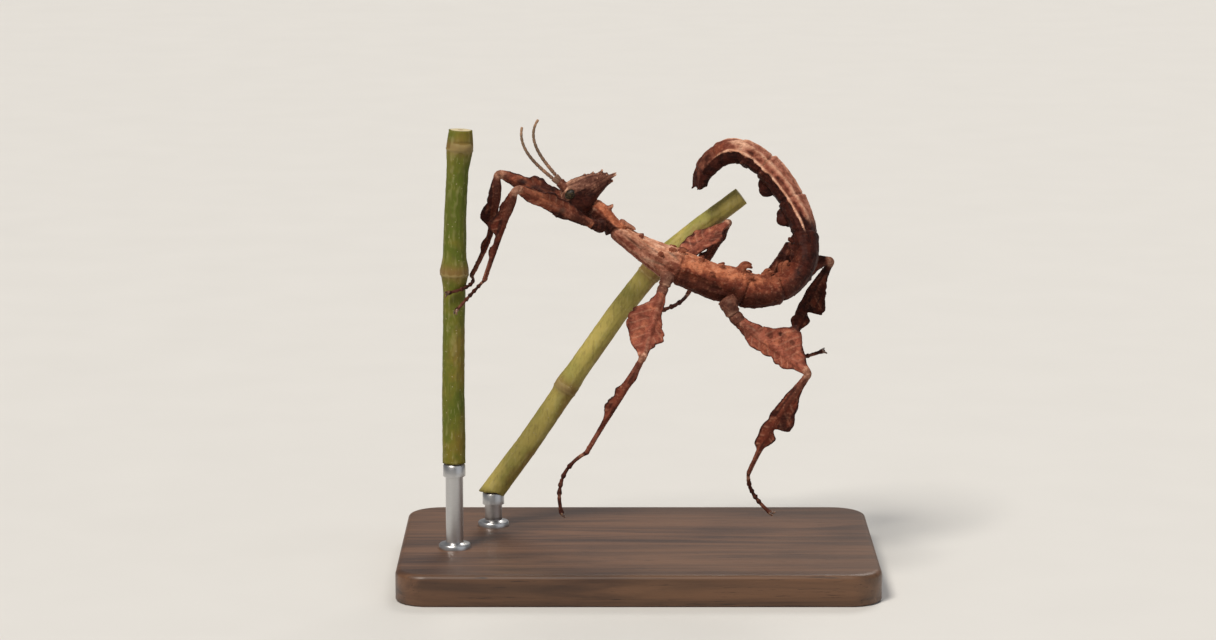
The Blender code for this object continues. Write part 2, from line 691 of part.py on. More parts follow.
def main():
    for old in list(bpy.data.objects):
        bpy.data.objects.remove(old, do_unlink=True)
    make_group(ANIMAL)
    make_group(DISPLAY)
    make_body()
    make_head()
    make_mouthparts()
    make_eye("eye_left", 1)
    make_eye("eye_right", -1)
    for name, (first, last, side) in ANTENNAE.items():
        make_antenna(name, first, last, side)
    for name in LEGS:
        make_leg(name)
    make_twig("perch_stem", STEM_LINE)
    make_twig("perch_branch", BRANCH_LINE)
    make_base()
    make_rod("stand_rod_stem", STEM_LINE[0][0], STEM_LINE[0][0][2])
    make_rod("stand_rod_branch", BRANCH_LINE[0][0], BRANCH_LINE[0][0][2])


main()
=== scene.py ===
"""The finish of a life-size stick insect: one skin over the whole animal, with separate eyes,
feelers and claws, on two cut twigs over a display base.

The tables are in millimetres and degrees, as in the solids, and each mesh becomes metres as it
is made. X runs from the head towards the tail, Y from the animal's left to its right, Z is up.
"""

import itertools
import math

import bpy
import numpy as np
from mathutils import Matrix, Vector, kdtree


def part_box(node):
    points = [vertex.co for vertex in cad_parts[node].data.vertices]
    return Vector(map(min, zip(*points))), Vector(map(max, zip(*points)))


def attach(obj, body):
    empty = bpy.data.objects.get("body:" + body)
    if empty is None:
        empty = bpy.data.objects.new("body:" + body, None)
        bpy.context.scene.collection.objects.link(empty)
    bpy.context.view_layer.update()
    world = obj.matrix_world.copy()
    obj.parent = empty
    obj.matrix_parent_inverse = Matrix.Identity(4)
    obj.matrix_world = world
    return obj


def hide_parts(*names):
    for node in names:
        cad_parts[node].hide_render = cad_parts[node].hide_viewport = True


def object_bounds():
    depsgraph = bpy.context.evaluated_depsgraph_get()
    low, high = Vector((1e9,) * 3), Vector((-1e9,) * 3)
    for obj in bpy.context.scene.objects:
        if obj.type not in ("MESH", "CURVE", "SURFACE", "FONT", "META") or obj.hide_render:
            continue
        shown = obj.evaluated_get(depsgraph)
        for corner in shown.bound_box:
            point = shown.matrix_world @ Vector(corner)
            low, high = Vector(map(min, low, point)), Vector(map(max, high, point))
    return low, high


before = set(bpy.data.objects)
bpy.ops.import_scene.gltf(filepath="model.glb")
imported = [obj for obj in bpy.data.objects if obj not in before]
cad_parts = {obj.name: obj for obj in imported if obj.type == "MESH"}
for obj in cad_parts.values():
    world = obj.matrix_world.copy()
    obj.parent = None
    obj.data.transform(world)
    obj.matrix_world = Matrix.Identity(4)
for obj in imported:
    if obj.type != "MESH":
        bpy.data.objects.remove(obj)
solid_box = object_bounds()

MM = 0.001
ACROSS = np.array([0.0, 1.0, 0.0])

# ---------------------------------------------------------------- the animal's forms

# The body's midline starts at the neck, and turns evenly from one row to the next.
# arc length, pitch, lean to the right, roll, then the body's reach up, down and sideways
NECK = np.array([-6.06, -3.5, 47.24])
MIDLINE = np.array([
    (0.0, -39, 0, 0, 1.15, 0.85, 0.85),
    (0.8, -39, 0, 0, 1.6, 1.1, 1.25),
    (2.2, -38, 0, 0, 1.45, 1.2, 1.3),
    (4.0, -37, 0, 0, 0.95, 1.3, 1.25),
    (5.6, -35, 0, 0, 0.85, 1.45, 1.3),
    (8.0, -32, 0, 0, 1.1, 1.75, 1.5),
    (12.2, -26, 0, 0, 1.75, 2.45, 2.2),
    (15.0, -19, 0, 0, 1.8, 2.5, 2.2),
    (18.1, -12, 0, 0, 1.45, 3.0, 2.35),
    (21.7, -24, 1, 0, 1.75, 3.0, 2.5),
    (25.4, 4, 11, 0, 1.9, 1.95, 2.6),
    (29.1, 44, 23, 3, 1.75, 1.5, 2.55),
    (32.9, 89, 26, 10, 1.6, 1.55, 2.4),
    (37.1, 110, 22, 18, 1.65, 1.35, 2.3),
    (41.7, 124, 16, 25, 1.7, 1.2, 2.15),
    (46.7, 147, 11, 28, 1.6, 1.35, 1.85),
    (50.3, 193, 9, 28, 1.05, 1.9, 1.6),
    (53.5, 228, 5, 28, 1.2, 1.25, 1.45),
    (56.4, 270, -4, 28, 0.65, 0.75, 1.0),
])
MIDLINE_STEP = 0.05
BODY_RINGS = 720
BODY_SIDES = 112
# arc length where each segment ends, from the first thorax segment to the last of the abdomen
SEGMENT_ENDS = (4.0, 13.4, 22.0, 26.2, 30.2, 35.0, 39.9, 45.4, 48.8, 51.8, 54.4, 56.4)
# how much further to the tail the first segment's hood reaches on the back
HOOD_REACH = 1.25
# arc length, degrees round from the back, length, lean to the tail, hook over, base size
BODY_SPINES = [
    (2.0, 17, 0.75, 0.1, 0.2, 0.22),
    (4.6, 12, 1.75, 2.4, 0.9, 0.26),
    (7.4, 24, 0.4, 0.3, 0.4, 0.18),
    (10.6, 75, 0.5, 0.4, 0.5, 0.22),
    (11.7, 30, 0.6, 0.4, 1.2, 0.24),
    (12.9, 20, 0.75, 0.3, 1.4, 0.28),
    (15.8, 22, 0.5, 0.3, 1.0, 0.22),
    (17.6, 75, 0.5, 0.4, 0.5, 0.22),
    (18.6, 26, 0.55, 0.2, 1.0, 0.24),
    (20.9, 18, 1.9, -0.2, 1.7, 0.36),
    (21.9, 42, 0.8, 0.1, 1.3, 0.3),
    (24.8, 18, 1.1, 0.0, 1.6, 0.28),
    (25.9, 46, 0.5, 0.2, 1.0, 0.22),
    (28.3, 17, 1.4, 0.0, 1.6, 0.32),
    (31.6, 18, 0.7, 0.1, 1.2, 0.26),
    (33.0, 20, 1.1, 0.1, 1.5, 0.32),
    (34.3, 18, 0.7, 0.1, 1.2, 0.26),
    (44.9, 88, 0.4, 0.5, 0.4, 0.2),
    (48.3, 86, 0.45, 0.5, 0.4, 0.2),
]
# The broad lobes in pairs on the back: arc length, degrees round, height, half length
BACK_LOBES = [
    (37.9, 16, 1.3, 1.05),
    (38.7, 16, 0.95, 0.8),
    (43.0, 16, 1.45, 1.15),
    (43.9, 16, 1.05, 0.8),
    (48.0, 14, 0.4, 0.6),
]
# where the pale ridge runs along each side of the rear of the abdomen: arc length and degrees
RIDGE_LINE = np.array([
    (36.0, 108), (40.0, 109), (45.0, 109), (47.0, 116), (50.0, 134), (56.0, 140),
])
# the ridges along the thorax: degrees round at an arc length of 10, drift in degrees for each
# millimetre, height, and half width in degrees
THORAX_KEELS = [
    (84, 1.1, 0.16, 7),
    (0, 0.0, 0.1, 8),
    (108, 0.8, -0.14, 9),
]
# dark streaks: arc length and degrees round at each end, and half width
BODY_STREAKS = [
    (7.2, 54, 10.8, 78, 0.15),
    (8.9, 127, 11.6, 104, 0.14),
    (5.6, 88, 8.2, 100, 0.1),
    (11.4, 48, 13.0, 66, 0.12),
]

# The head is a leaning cone, wide at the face and drawn out to a spiny crown.
MOUTH = np.array([-9.15, -3.5, 47.85])
CROWN = np.array([-3.6, -3.5, 51.1])
# share of the way from the mouth to the crown, reach to the brow, to the throat and sideways
HEAD_PROFILE = np.array([
    (0.0, 1.05, 1.1, 0.85),
    (0.1, 1.7, 1.55, 1.3),
    (0.25, 2.1, 1.75, 1.65),
    (0.45, 2.0, 1.55, 1.75),
    (0.65, 1.65, 1.35, 1.5),
    (0.82, 1.15, 1.05, 1.15),
    (0.94, 0.75, 0.75, 0.8),
    (1.0, 0.45, 0.45, 0.5),
])
HEAD_RINGS = 110
HEAD_SIDES = 120
# length of the head, and the width of one degree round its cheek
HEAD_LENGTH = 6.4
CHEEK_DEGREE = 0.031
# the head's ridges: degrees round, half width, height, and the shares between which it rises
HEAD_KEELS = [
    (28, 9, 0.07, 0.2, 0.45),
    (0, 7, -0.07, 0.15, 0.4),
    (103, 6, -0.08, 0.25, 0.45),
]
# share of the way to the crown, degrees round from the brow, height, lean to the crown, base
CROWN_SPINES = [
    (0.6, 12, 0.2, 0.4, 0.11),
    (0.75, 14, 0.3, 0.8, 0.13),
    (0.78, 58, 0.2, 0.7, 0.11),
    (0.88, 20, 0.6, 1.5, 0.14),
    (0.93, 62, 0.5, 1.6, 0.13),
    (0.98, 98, 1.15, 3.2, 0.16),
    (0.96, 142, 0.5, 1.5, 0.13),
]
# the eye's share of the way to the crown and its degrees round from the brow, its reach along
# the head, round it and outwards, and how deep its middle is sunk
EYE_PLACE = (0.2, 69)
EYE_REACH = (0.82, 0.62, 0.45)
EYE_SINK = 0.16
ANTENNA_LENGTH = 8.9
ANTENNA_STEPS = 260
# radius of the antenna's thick first joint, and of the rest where it starts
SCAPE_RADIUS = 0.31
ANTENNA_RADIUS = 0.25
# where the first two joints of an antenna end, and the length of each joint after them
SCAPE_END = 1.0
PEDICEL_END = 1.45
ANTENNA_JOINT = 0.62
# how late an antenna turns from its first direction to its last
ANTENNA_TURN = 2.5
# heading and rise of each antenna at its root and at its tip, and its side
ANTENNAE = {
    "antenna_left": ((186, 40), (186, 103), -1),
    "antenna_right": ((174, 49), (174, 126), 1),
}
ANTENNA_ROOT = np.array([-9.75, -3.5, 50.35])
ANTENNA_SPREAD = np.array([0.13, 0.62, 0.05])

# length of the femur, the tibia and the tarsus
LEG_LENGTHS = {
    "front": (13.0, 13.8, 6.4),
    "mid": (9.8, 13.9, 9.4),
    "hind": (12.3, 14.6, 7.0),
}
# share of the length, then the reach of the leaf's leading and trailing edges
FEMUR_EDGES = {
    "front": [
        (0.0, 0.5, 0.5), (0.08, 0.6, 0.7), (0.2, 0.85, 0.8), (0.3, 1.1, 0.95),
        (0.42, 1.2, 1.15), (0.5, 1.2, 0.9), (0.58, 1.55, 0.85), (0.66, 1.45, 0.9),
        (0.7, 0.95, 0.95), (0.83, 0.85, 0.95), (0.92, 0.75, 0.75), (1.0, 0.5, 0.5),
    ],
    "mid": [
        (0.0, 0.55, 0.6), (0.1, 0.9, 0.8), (0.24, 1.9, 0.8), (0.33, 2.75, 0.8),
        (0.46, 3.15, 1.2), (0.56, 3.2, 1.75), (0.67, 2.95, 1.9), (0.78, 2.2, 1.15),
        (0.86, 1.7, 0.65), (0.94, 1.0, 0.55), (1.0, 0.5, 0.5),
    ],
    "hind": [
        (0.0, 0.9, 0.8), (0.1, 1.0, 0.9), (0.19, 1.3, 1.0), (0.27, 1.65, 1.3),
        (0.37, 1.7, 1.75), (0.47, 1.5, 2.6), (0.56, 1.2, 3.35), (0.61, 1.5, 3.85),
        (0.64, 1.6, 3.75), (0.73, 1.55, 3.2), (0.84, 0.85, 1.75), (0.95, 0.6, 0.75),
        (1.0, 0.5, 0.5),
    ],
}
TIBIA_EDGES = {
    "front": [
        (0.0, 0.42, 0.42), (0.09, 0.8, 0.62), (0.2, 1.1, 0.6), (0.3, 1.4, 0.42),
        (0.4, 1.75, 0.4), (0.45, 1.65, 0.4), (0.5, 0.5, 0.38), (0.6, 0.4, 0.36),
        (0.66, 0.7, 0.35), (0.71, 0.65, 0.35), (0.75, 0.35, 0.33), (0.88, 0.3, 0.3),
        (1.0, 0.32, 0.32),
    ],
    "mid": [
        (0.0, 0.4, 0.4), (0.1, 0.42, 0.5), (0.18, 0.46, 0.72), (0.29, 0.58, 0.5),
        (0.35, 0.98, 0.5), (0.42, 0.66, 0.48), (0.48, 1.16, 0.45), (0.54, 1.14, 0.45),
        (0.6, 0.62, 0.42), (0.65, 0.38, 0.38), (0.82, 0.3, 0.3), (1.0, 0.32, 0.32),
    ],
    "hind": [
        (0.0, 0.4, 0.42), (0.12, 0.55, 0.6), (0.25, 0.8, 1.1), (0.36, 0.95, 1.75),
        (0.45, 1.0, 2.3), (0.52, 1.05, 2.2), (0.545, 1.1, 0.4), (0.58, 1.15, 0.45),
        (0.62, 1.15, 1.15), (0.67, 1.2, 1.05), (0.74, 1.2, 0.42), (0.78, 0.4, 0.34),
        (0.9, 0.3, 0.3), (1.0, 0.32, 0.32),
    ],
}
# radius of a leaf's rib at its two ends, and its blade's half thickness from rib to edge
FEMUR_RIB = (0.55, 0.42)
TIBIA_RIB = (0.4, 0.27)
BLADE_THICK = (0.23, 0.15)
# radius of the knee's bend and of the knee itself, and how far short of the bend, in shares
# of its reach, the femur ends and the tibia starts
KNEE_BEND = 0.45
KNEE_RADIUS = 0.45
FEMUR_SHORT = 0.7
TIBIA_SHORT = 0.85
TARSUS_RADIUS = {"front": 0.22, "mid": 0.26, "hind": 0.26}
# radius of the coxa at the flank and at the femur
COXA_RADIUS = {"front": (0.82, 0.6), "mid": (0.84, 0.64), "hind": (1.05, 0.82)}
# the rings round a coxa: share of its length, height and half width
COXA_FOLDS = [
    (0.12, 0.1, 0.09),
    (0.72, -0.13, 0.05),
    (0.6, 0.06, 0.06),
    (0.86, 0.05, 0.08),
]
# how dark the coxae of each pair of legs are
COXA_SHADES = {"front": 0.8, "mid": 0.25, "hind": 0.35}
# where each of the foot's five joints ends, as shares of its length
FOOT_JOINTS = (0.34, 0.5, 0.63, 0.74, 1.0)
# spacing of the rings along a leaf, and how many places each ring has
LEAF_STEP = 0.09
LEAF_SIDES = 112
# spacing of the veins along a leaf
VEIN_PITCH = 1.25
# arc length of the hip, its place sideways and up from the midline, the coxa's heading, rise
# and length, then the headings and rises of the femur, the tibia and the tarsus's two ends,
# how far the leaves of the femur and the tibia are turned about their ribs, and how far the
# tibia bows towards its leading edge
LEGS = {
    "front_left": (2.4, -1.4, -0.8, (-133, 15), 1.9, (-140, 25), (129, -62),
                   (109, -25), (206, -43), 0, 0, 0.0),
    "front_right": (2.4, 1.4, -0.6, (146, 28), 2.25, (159, 19.5), (-121, -63),
                    (-72, -10), (-172, -10), 0, 0, -1.0),
    "mid_left": (12.5, -2.0, -1.6, (-121, -51), 2.55, (-110, -45), (171, -60),
                 (164, -30), (163, -107), 0, 0, 0.0),
    "mid_right": (12.5, 2.2, -1.2, (47, 1), 2.0, (40, 30), (125, -50),
                  (-105, -15), (-180, -5), 118, 0, 0.0),
    "hind_left": (20.4, -2.15, -2.4, (-36, -51), 3.0, (-43, -24), (174, -60),
                  (97, -48), (-18, -36), 0, 0, 0.45),
    "hind_right": (20.4, 2.3, -1.6, (34, -6), 2.45, (16, 16.5), (137, -62),
                   (-98, -8), (18, 17), 0, 15, 0.45),
}
# how rosy, tan and dark the femur is, and then the tibia; the right legs lie on the far side, and
# the dark they get beyond the left legs is painted shade
LEG_TINTS_AND_SHADE = {
    "front_left": ((0.4, 0.4, 0.42), (0.0, 0.1, 0.6)),
    "front_right": ((0.2, 0.35, 0.5), (0.0, 0.05, 0.6)),
    "mid_left": ((0.9, 0.0, 0.08), (0.2, 0.05, 0.4)),
    "mid_right": ((0.8, 0.2, 0.15), (0.0, 0.0, 0.75)),
    "hind_left": ((0.8, 0.0, 0.15), (0.0, 0.0, 0.42)),
    "hind_right": ((0.1, 0.0, 0.7), (0.0, 0.0, 0.8)),
}

# length of a claw, the width of its foot, how far it splays and how far it hooks over
CLAW = (0.7, 0.09, 0.55, 0.6)

# place along each cut twig, from its lower end to its upper one, and the radius there
STEM_LINE = [
    ((-23.1, -4.4, 15.0), 1.45),
    ((-23.15, -4.4, 24.0), 1.4),
    ((-23.0, -4.4, 33.0), 1.35),
    ((-22.9, -4.4, 37.5), 1.4),
    ((-22.85, -4.4, 39.4), 1.85),
    ((-22.85, -4.4, 41.0), 1.45),
    ((-22.75, -4.4, 46.0), 1.35),
    ((-22.4, -4.4, 52.0), 1.35),
    ((-22.1, -4.4, 55.0), 1.7),
    ((-22.0, -4.4, 57.0), 1.45),
]
BRANCH_LINE = [
    ((-18.6, 8.0, 8.6), 1.5),
    ((-14.2, 8.0, 14.6), 1.45),
    ((-9.8, 8.0, 21.2), 1.4),
    ((-8.9, 8.0, 22.7), 1.6),
    ((-8.0, 8.0, 24.0), 1.4),
    ((-2.6, 8.0, 31.8), 1.35),
    ((1.3, 8.0, 36.8), 1.4),
    ((2.2, 8.0, 37.9), 1.65),
    ((3.2, 8.0, 39.0), 1.4),
    ((7.8, 8.0, 42.9), 1.25),
    ((13.2, 8.0, 47.0), 1.2),
]
# how far along each twig its buds have left scars, and the heading round it
STEM_SCARS = ((24.3, 40), (40.0, 200))
BRANCH_SCARS = ((16.6, 150), (35.0, 320))
# young bark, old bark and the blush on its underside
STEM_TONES = ((0.085, 0.105, 0.008), (0.15, 0.135, 0.014), (0.22, 0.11, 0.02))
BRANCH_TONES = ((0.40, 0.32, 0.085), (0.27, 0.24, 0.055), (0.33, 0.18, 0.06))
TWIG_SIDES = 72
TWIG_STEP = 0.12

# the base's round corners in plan, and its rounded top edge
BASE_CORNER = 4.0
BASE_EDGE = 0.7
# each rod's flange: height over its foot, and how much wider it is than the rod there
ROD_FLANGE = ((0.0, 0.9), (0.45, 0.9), (0.6, 0.78), (0.66, 0.2), (0.8, 0.0), (1.2, 0.0))
# and its collar: depth under its top, and how much wider it is there
ROD_COLLAR = ((1.6, 0.0), (1.5, 0.3), (0.15, 0.3), (0.0, 0.18))
# the rings of its plain shaft, as shares of its height
ROD_SHAFT = np.linspace(0.2, 0.8, 5)

SKIN_VOXEL = 0.09
# spacing and height of the cuticle's beads and of the finer grit between them
BEADS = (0.5, 0.055)
GRIT = (0.3, 0.022)
# sizes of its folds, and their height
FOLDS = (0.8, 0.36)
FOLD_HEIGHT = 0.018
# the marks that colour the skin
MARKS = ("tan", "dark", "pale", "rosy", "grey", "vein")


# ---------------------------------------------------------------- numbers and random fields

# whole numbers that stir a cell's place into an even random number, and how finely it is cut
CELL_STIR = (73856093, 19349663, 83492791)
SEED_STIR = 982451653
CODE_STIR = 1274126177
RANDOM_STEPS = 10006


def unit(vectors):
    """Scale vectors to length one."""
    return vectors / np.linalg.norm(vectors, axis=-1, keepdims=True)


def direction(heading, rise):
    """Turn a heading round Z and a rise above level into a unit vector."""
    turned, raised = math.radians(heading), math.radians(rise)
    level = math.cos(raised)
    return np.array([level * math.cos(turned), level * math.sin(turned), math.sin(raised)])


def eased(share):
    """Make a share from 0 to 1 start and end gently."""
    return share * share * (3 - 2 * share)


def step_up(values, low, high):
    """Go smoothly from 0 below low to 1 above high, or down when low is the larger."""
    return eased(np.clip((values - low) / (high - low), 0.0, 1.0))


def hump(values, middle, width):
    """Rise smoothly to 1 at the middle, and fall away on both sides over the width."""
    return np.exp(-(((values - middle) / width) ** 2))


def rounded(table, wheres, blur):
    """Read every column of a table between its rows, with the corners rounded off."""
    table = np.asarray(table, float)
    offsets = np.linspace(-1.0, 1.0, 9)
    weights = 1 + np.cos(math.pi * offsets)
    columns = []
    for column in table.T[1:]:
        reads = [np.interp(wheres + blur * offset, table[:, 0], column) for offset in offsets]
        columns.append(np.average(reads, axis=0, weights=weights))
    return columns


def scatter(cells, seed):
    """Give each whole-number cell its own even random number from 0 to 1."""
    code = (cells.astype(np.int64) * CELL_STIR).sum(axis=-1) + seed * SEED_STIR
    code = (code ^ (code >> 13)) * CODE_STIR
    code = code ^ (code >> 16)
    return (code % (RANDOM_STEPS + 1)) / RANDOM_STEPS


def cloud(points, size, seed):
    """Give a smooth random field from about -1 to 1, whose lumps are as large as the size."""
    scaled = points / size
    cell = np.floor(scaled)
    share = eased(scaled - cell)
    total = 0.0
    for corner in itertools.product((0, 1), repeat=3):
        weight = np.prod(np.where(corner, share, 1 - share), axis=-1)
        total += weight * scatter(cell + corner, seed)
    return 2 * total - 1


def pebbles(points, size, seed):
    """Give the distance to the nearest of many scattered spots, in spacings, and its number."""
    scaled = points / size
    cell = np.floor(scaled)
    nearest = np.full(len(points), 9.0)
    number = np.zeros(len(points))
    for step in itertools.product((-1, 0, 1), repeat=3):
        here = cell + step
        spot = here + np.stack([scatter(here, seed + axis) for axis in range(3)], axis=-1)
        away = np.linalg.norm(scaled - spot, axis=-1)
        closer = away < nearest
        nearest = np.where(closer, away, nearest)
        number = np.where(closer, scatter(here, seed + 3), number)
    return nearest, number


def flat_cloud(first, second, first_size, second_size, seed):
    """Give a smooth random field over two coordinates that each have their own lump size."""
    first, second = np.broadcast_arrays(first / first_size, second / second_size)
    return cloud(np.stack([first, second, np.zeros_like(first)], axis=-1), 1.0, seed)


# ---------------------------------------------------------------- meshes

class Heap:
    """Closed shapes kept as points, faces and marks, until they are made into one mesh."""

    def __init__(self):
        self.points = []
        self.faces = []
        self.marks = {name: [] for name in MARKS}
        self.count = 0

    def loft(self, grid, **marks):
        """Add a closed tube from a grid of rings, with its colour marks."""
        rings, sides = grid.shape[:2]
        first, last = grid[0].mean(axis=0), grid[-1].mean(axis=0)
        self.points.append(np.concatenate([grid.reshape(-1, 3), [first, last]]))
        for name in MARKS:
            mark = np.broadcast_to(marks.get(name, 0.0), (rings, sides))
            ends = [mark[0].mean(), mark[-1].mean()]
            self.marks[name].append(np.concatenate([mark.ravel(), ends]))
        ring, side = np.meshgrid(np.arange(rings - 1), np.arange(sides), indexing="ij")
        after = (side + 1) % sides
        corners = (ring * sides + side, ring * sides + after,
                   (ring + 1) * sides + after, (ring + 1) * sides + side)
        quads = np.stack(corners, axis=-1).reshape(-1, 4) + self.count
        self.faces.extend(quads.tolist())
        low, high = self.count + rings * sides, self.count + (rings - 1) * sides
        for number in range(sides):
            following = (number + 1) % sides
            self.faces.append([low, self.count + following, self.count + number])
            self.faces.append([low + 1, high + number, high + following])
        self.count += rings * sides + 2

    def all_marks(self):
        """Give each colour mark for all the shapes' points in one row."""
        return {name: np.concatenate(values) for name, values in self.marks.items()}

    def mesh(self, name):
        """Make one mesh from all the shapes, with their marks as attributes."""
        made = bpy.data.meshes.new(name)
        made.from_pydata(np.concatenate(self.points), [], self.faces)
        write_marks(made, self.all_marks())
        made.validate()
        return made


def write_marks(mesh, marks):
    """Keep colour marks on a mesh, a number for each point."""
    for name, values in marks.items():
        layer = mesh.attributes.new(name, "FLOAT", "POINT")
        layer.data.foreach_set("value", values.astype(np.float32))


def read_vectors(mesh, name):
    """Read the place or the normal of every point of a mesh as an array."""
    values = np.empty(len(mesh.vertices) * 3, np.float32)
    mesh.vertices.foreach_get(name, values)
    return values.reshape(-1, 3).astype(float)


def add_piece(name, mesh, finish, replaced):
    """Put a mesh made in millimetres into the scene, riding on the model's body."""
    mesh.transform(Matrix.Scale(MM, 4))
    mesh.shade_smooth()
    mesh.materials.clear()
    mesh.materials.append(finish)
    piece = bpy.data.objects.new(name, mesh)
    bpy.context.scene.collection.objects.link(piece)
    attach(piece, "root")
    if replaced:
        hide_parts(*replaced)


def carried(places, side):
    """Carry a sideways direction along a path without twisting it, giving way, side and up."""
    ways = unit(np.gradient(places, axis=0))
    sides = []
    for way in ways:
        side = side - way * way.dot(side)
        side = side / np.linalg.norm(side)
        sides.append(side)
    sides = np.array(sides)
    return ways, sides, np.cross(ways, sides)


def full_turn(count):
    """Give evenly spaced angles all the way round."""
    return np.linspace(0, 2 * math.pi, count, endpoint=False)


def ways_out(sides, ups, angles):
    """Give the ways out from each place on a path, at every angle round it."""
    wide = sides[:, None, :] * np.cos(angles)[None, :, None]
    high = ups[:, None, :] * np.sin(angles)[None, :, None]
    return wide + high


def add_tube(heap, places, side, radius, count, **marks):
    """Add a round tube along a path, with its radius at each place."""
    _, sides, ups = carried(places, side)
    out = ways_out(sides, ups, full_turn(count)) * radius[:, None, None]
    heap.loft(places[:, None, :] + out, **marks)


def add_oval_tube(heap, places, left, back, outline, rows, count, relief, marks):
    """Add a tube of ovals from their reaches up, down and sideways, with its relief and marks."""
    angles = full_turn(count)
    degrees = (np.degrees(angles) + 180) % 360 - 180
    row_grid, degree_grid = np.meshgrid(rows, degrees, indexing="ij")
    height = relief(row_grid, degree_grid)
    above, below, aside = (reach[:, None] for reach in outline)
    tall = np.where(np.cos(angles) > 0, above, below) + height
    grid = places[:, None, :] + back[:, None, :] * (tall * np.cos(angles))[..., None]
    grid = grid + left[:, None, :] * ((aside + height) * np.sin(angles))[..., None]
    heap.loft(grid, **marks(row_grid, degree_grid))


def curl(start, first_way, last_way, length, steps, late):
    """Follow a path that turns from one direction to another, the later the higher late is."""
    shares = ((np.arange(steps) + 0.5) / steps) ** late
    ways = unit(first_way + (last_way - first_way) * shares[:, None])
    return np.concatenate([[start], start + np.cumsum(ways * (length / steps), axis=0)])


def add_spine(heap, root, way, height, base, onward, hook, **marks):
    """Add one spine on a flared foot, that hooks over towards the way onward as it rises."""
    foot = 0.25 * height
    path = curl(root, way, unit(way * (1 - hook) + onward * hook), height, 14, 1.0)
    places = np.concatenate([[root - way * foot], path])
    rise = np.concatenate([[0.0], np.linspace(0.0, 1.0, 15)])
    flare = 1 + 0.7 * hump(rise, 0, 0.18)
    blunt = 0.07 + 0.12 * base * (hook > 0.8)
    radius = base * flare * (1 - rise) ** 0.7 + blunt
    radius[-1] = 0.03
    tint = {name: (value * np.ones(len(rise)))[:, None] for name, value in marks.items()}
    add_tube(heap, places, np.cross(way, ACROSS + 0.31), radius, 12, **tint)


def add_blob(heap, centre, axes, reaches, **marks):
    """Add a closed ellipsoid on three square axes."""
    lat = np.linspace(0.03, math.pi - 0.03, 24)
    lon = full_turn(32)
    first = np.cos(lat)[:, None, None] * axes[0] * reaches[0]
    second = (np.sin(lat)[:, None] * np.cos(lon))[..., None] * axes[1] * reaches[1]
    third = (np.sin(lat)[:, None] * np.sin(lon))[..., None] * axes[2] * reaches[2]
    heap.loft(centre + first + second + third, **marks)


# ---------------------------------------------------------------- the body

def walk_midline():
    """Follow the midline's pitch and lean from the neck to the tail, in small steps."""
    count = round(MIDLINE[-1, 0] / MIDLINE_STEP)
    arcs = (np.arange(count) + 0.5) * MIDLINE_STEP
    pitch = np.radians(np.interp(arcs, MIDLINE[:, 0], MIDLINE[:, 1]))
    lean = np.radians(np.interp(arcs, MIDLINE[:, 0], MIDLINE[:, 2]))
    ways = [np.cos(pitch) * np.cos(lean), np.sin(lean), np.sin(pitch) * np.cos(lean)]
    steps = np.stack(ways, axis=-1) * MIDLINE_STEP
    return np.concatenate([[NECK], NECK + np.cumsum(steps, axis=0)])


MIDLINE_PLACES = walk_midline()


def body_frames(arcs):
    """Give the midline's places at arc lengths, with the ways onward, left and to the back."""
    arcs = np.atleast_1d(np.asarray(arcs, float))
    known = np.arange(len(MIDLINE_PLACES)) * MIDLINE_STEP
    ways = np.gradient(MIDLINE_PLACES, axis=0)
    places = np.stack([np.interp(arcs, known, axis) for axis in MIDLINE_PLACES.T], axis=-1)
    onward = unit(np.stack([np.interp(arcs, known, axis) for axis in ways.T], axis=-1))
    left = unit(-ACROSS + onward * (onward @ ACROSS)[:, None])
    back = np.cross(left, onward)
    roll = np.radians(np.interp(arcs, MIDLINE[:, 0], MIDLINE[:, 3]))[:, None]
    turned_back = back * np.cos(roll) - left * np.sin(roll)
    turned_left = left * np.cos(roll) + back * np.sin(roll)
    return places, onward, turned_left, turned_back


def segment_ends(degrees):
    """Give each segment's end at each place round the body; the first reaches back as a hood."""
    back = np.clip(np.cos(np.radians(degrees)), 0, 1)
    return [SEGMENT_ENDS[0] + HOOD_REACH * back] + list(SEGMENT_ENDS[1:-1])


def streaks(arcs, degrees):
    """Give the share of dark streak at each place on the body."""
    total = 0.0
    for first, low, last, high, width in BODY_STREAKS:
        share = np.clip((arcs - first) / (last - first), 0, 1)
        aside = np.radians(np.abs(degrees) - low - (high - low) * share) * 1.5
        beyond = np.minimum(arcs - first, 0) + np.maximum(arcs - last, 0)
        total += hump(np.hypot(aside, beyond), 0, width * (0.4 + np.sin(math.pi * share)))
    return np.clip(total, 0, 1)


def past_ridge(arcs, degrees):
    """Give how many degrees outside the pale ridge a place lies."""
    return np.abs(degrees) - np.interp(arcs, *RIDGE_LINE.T)


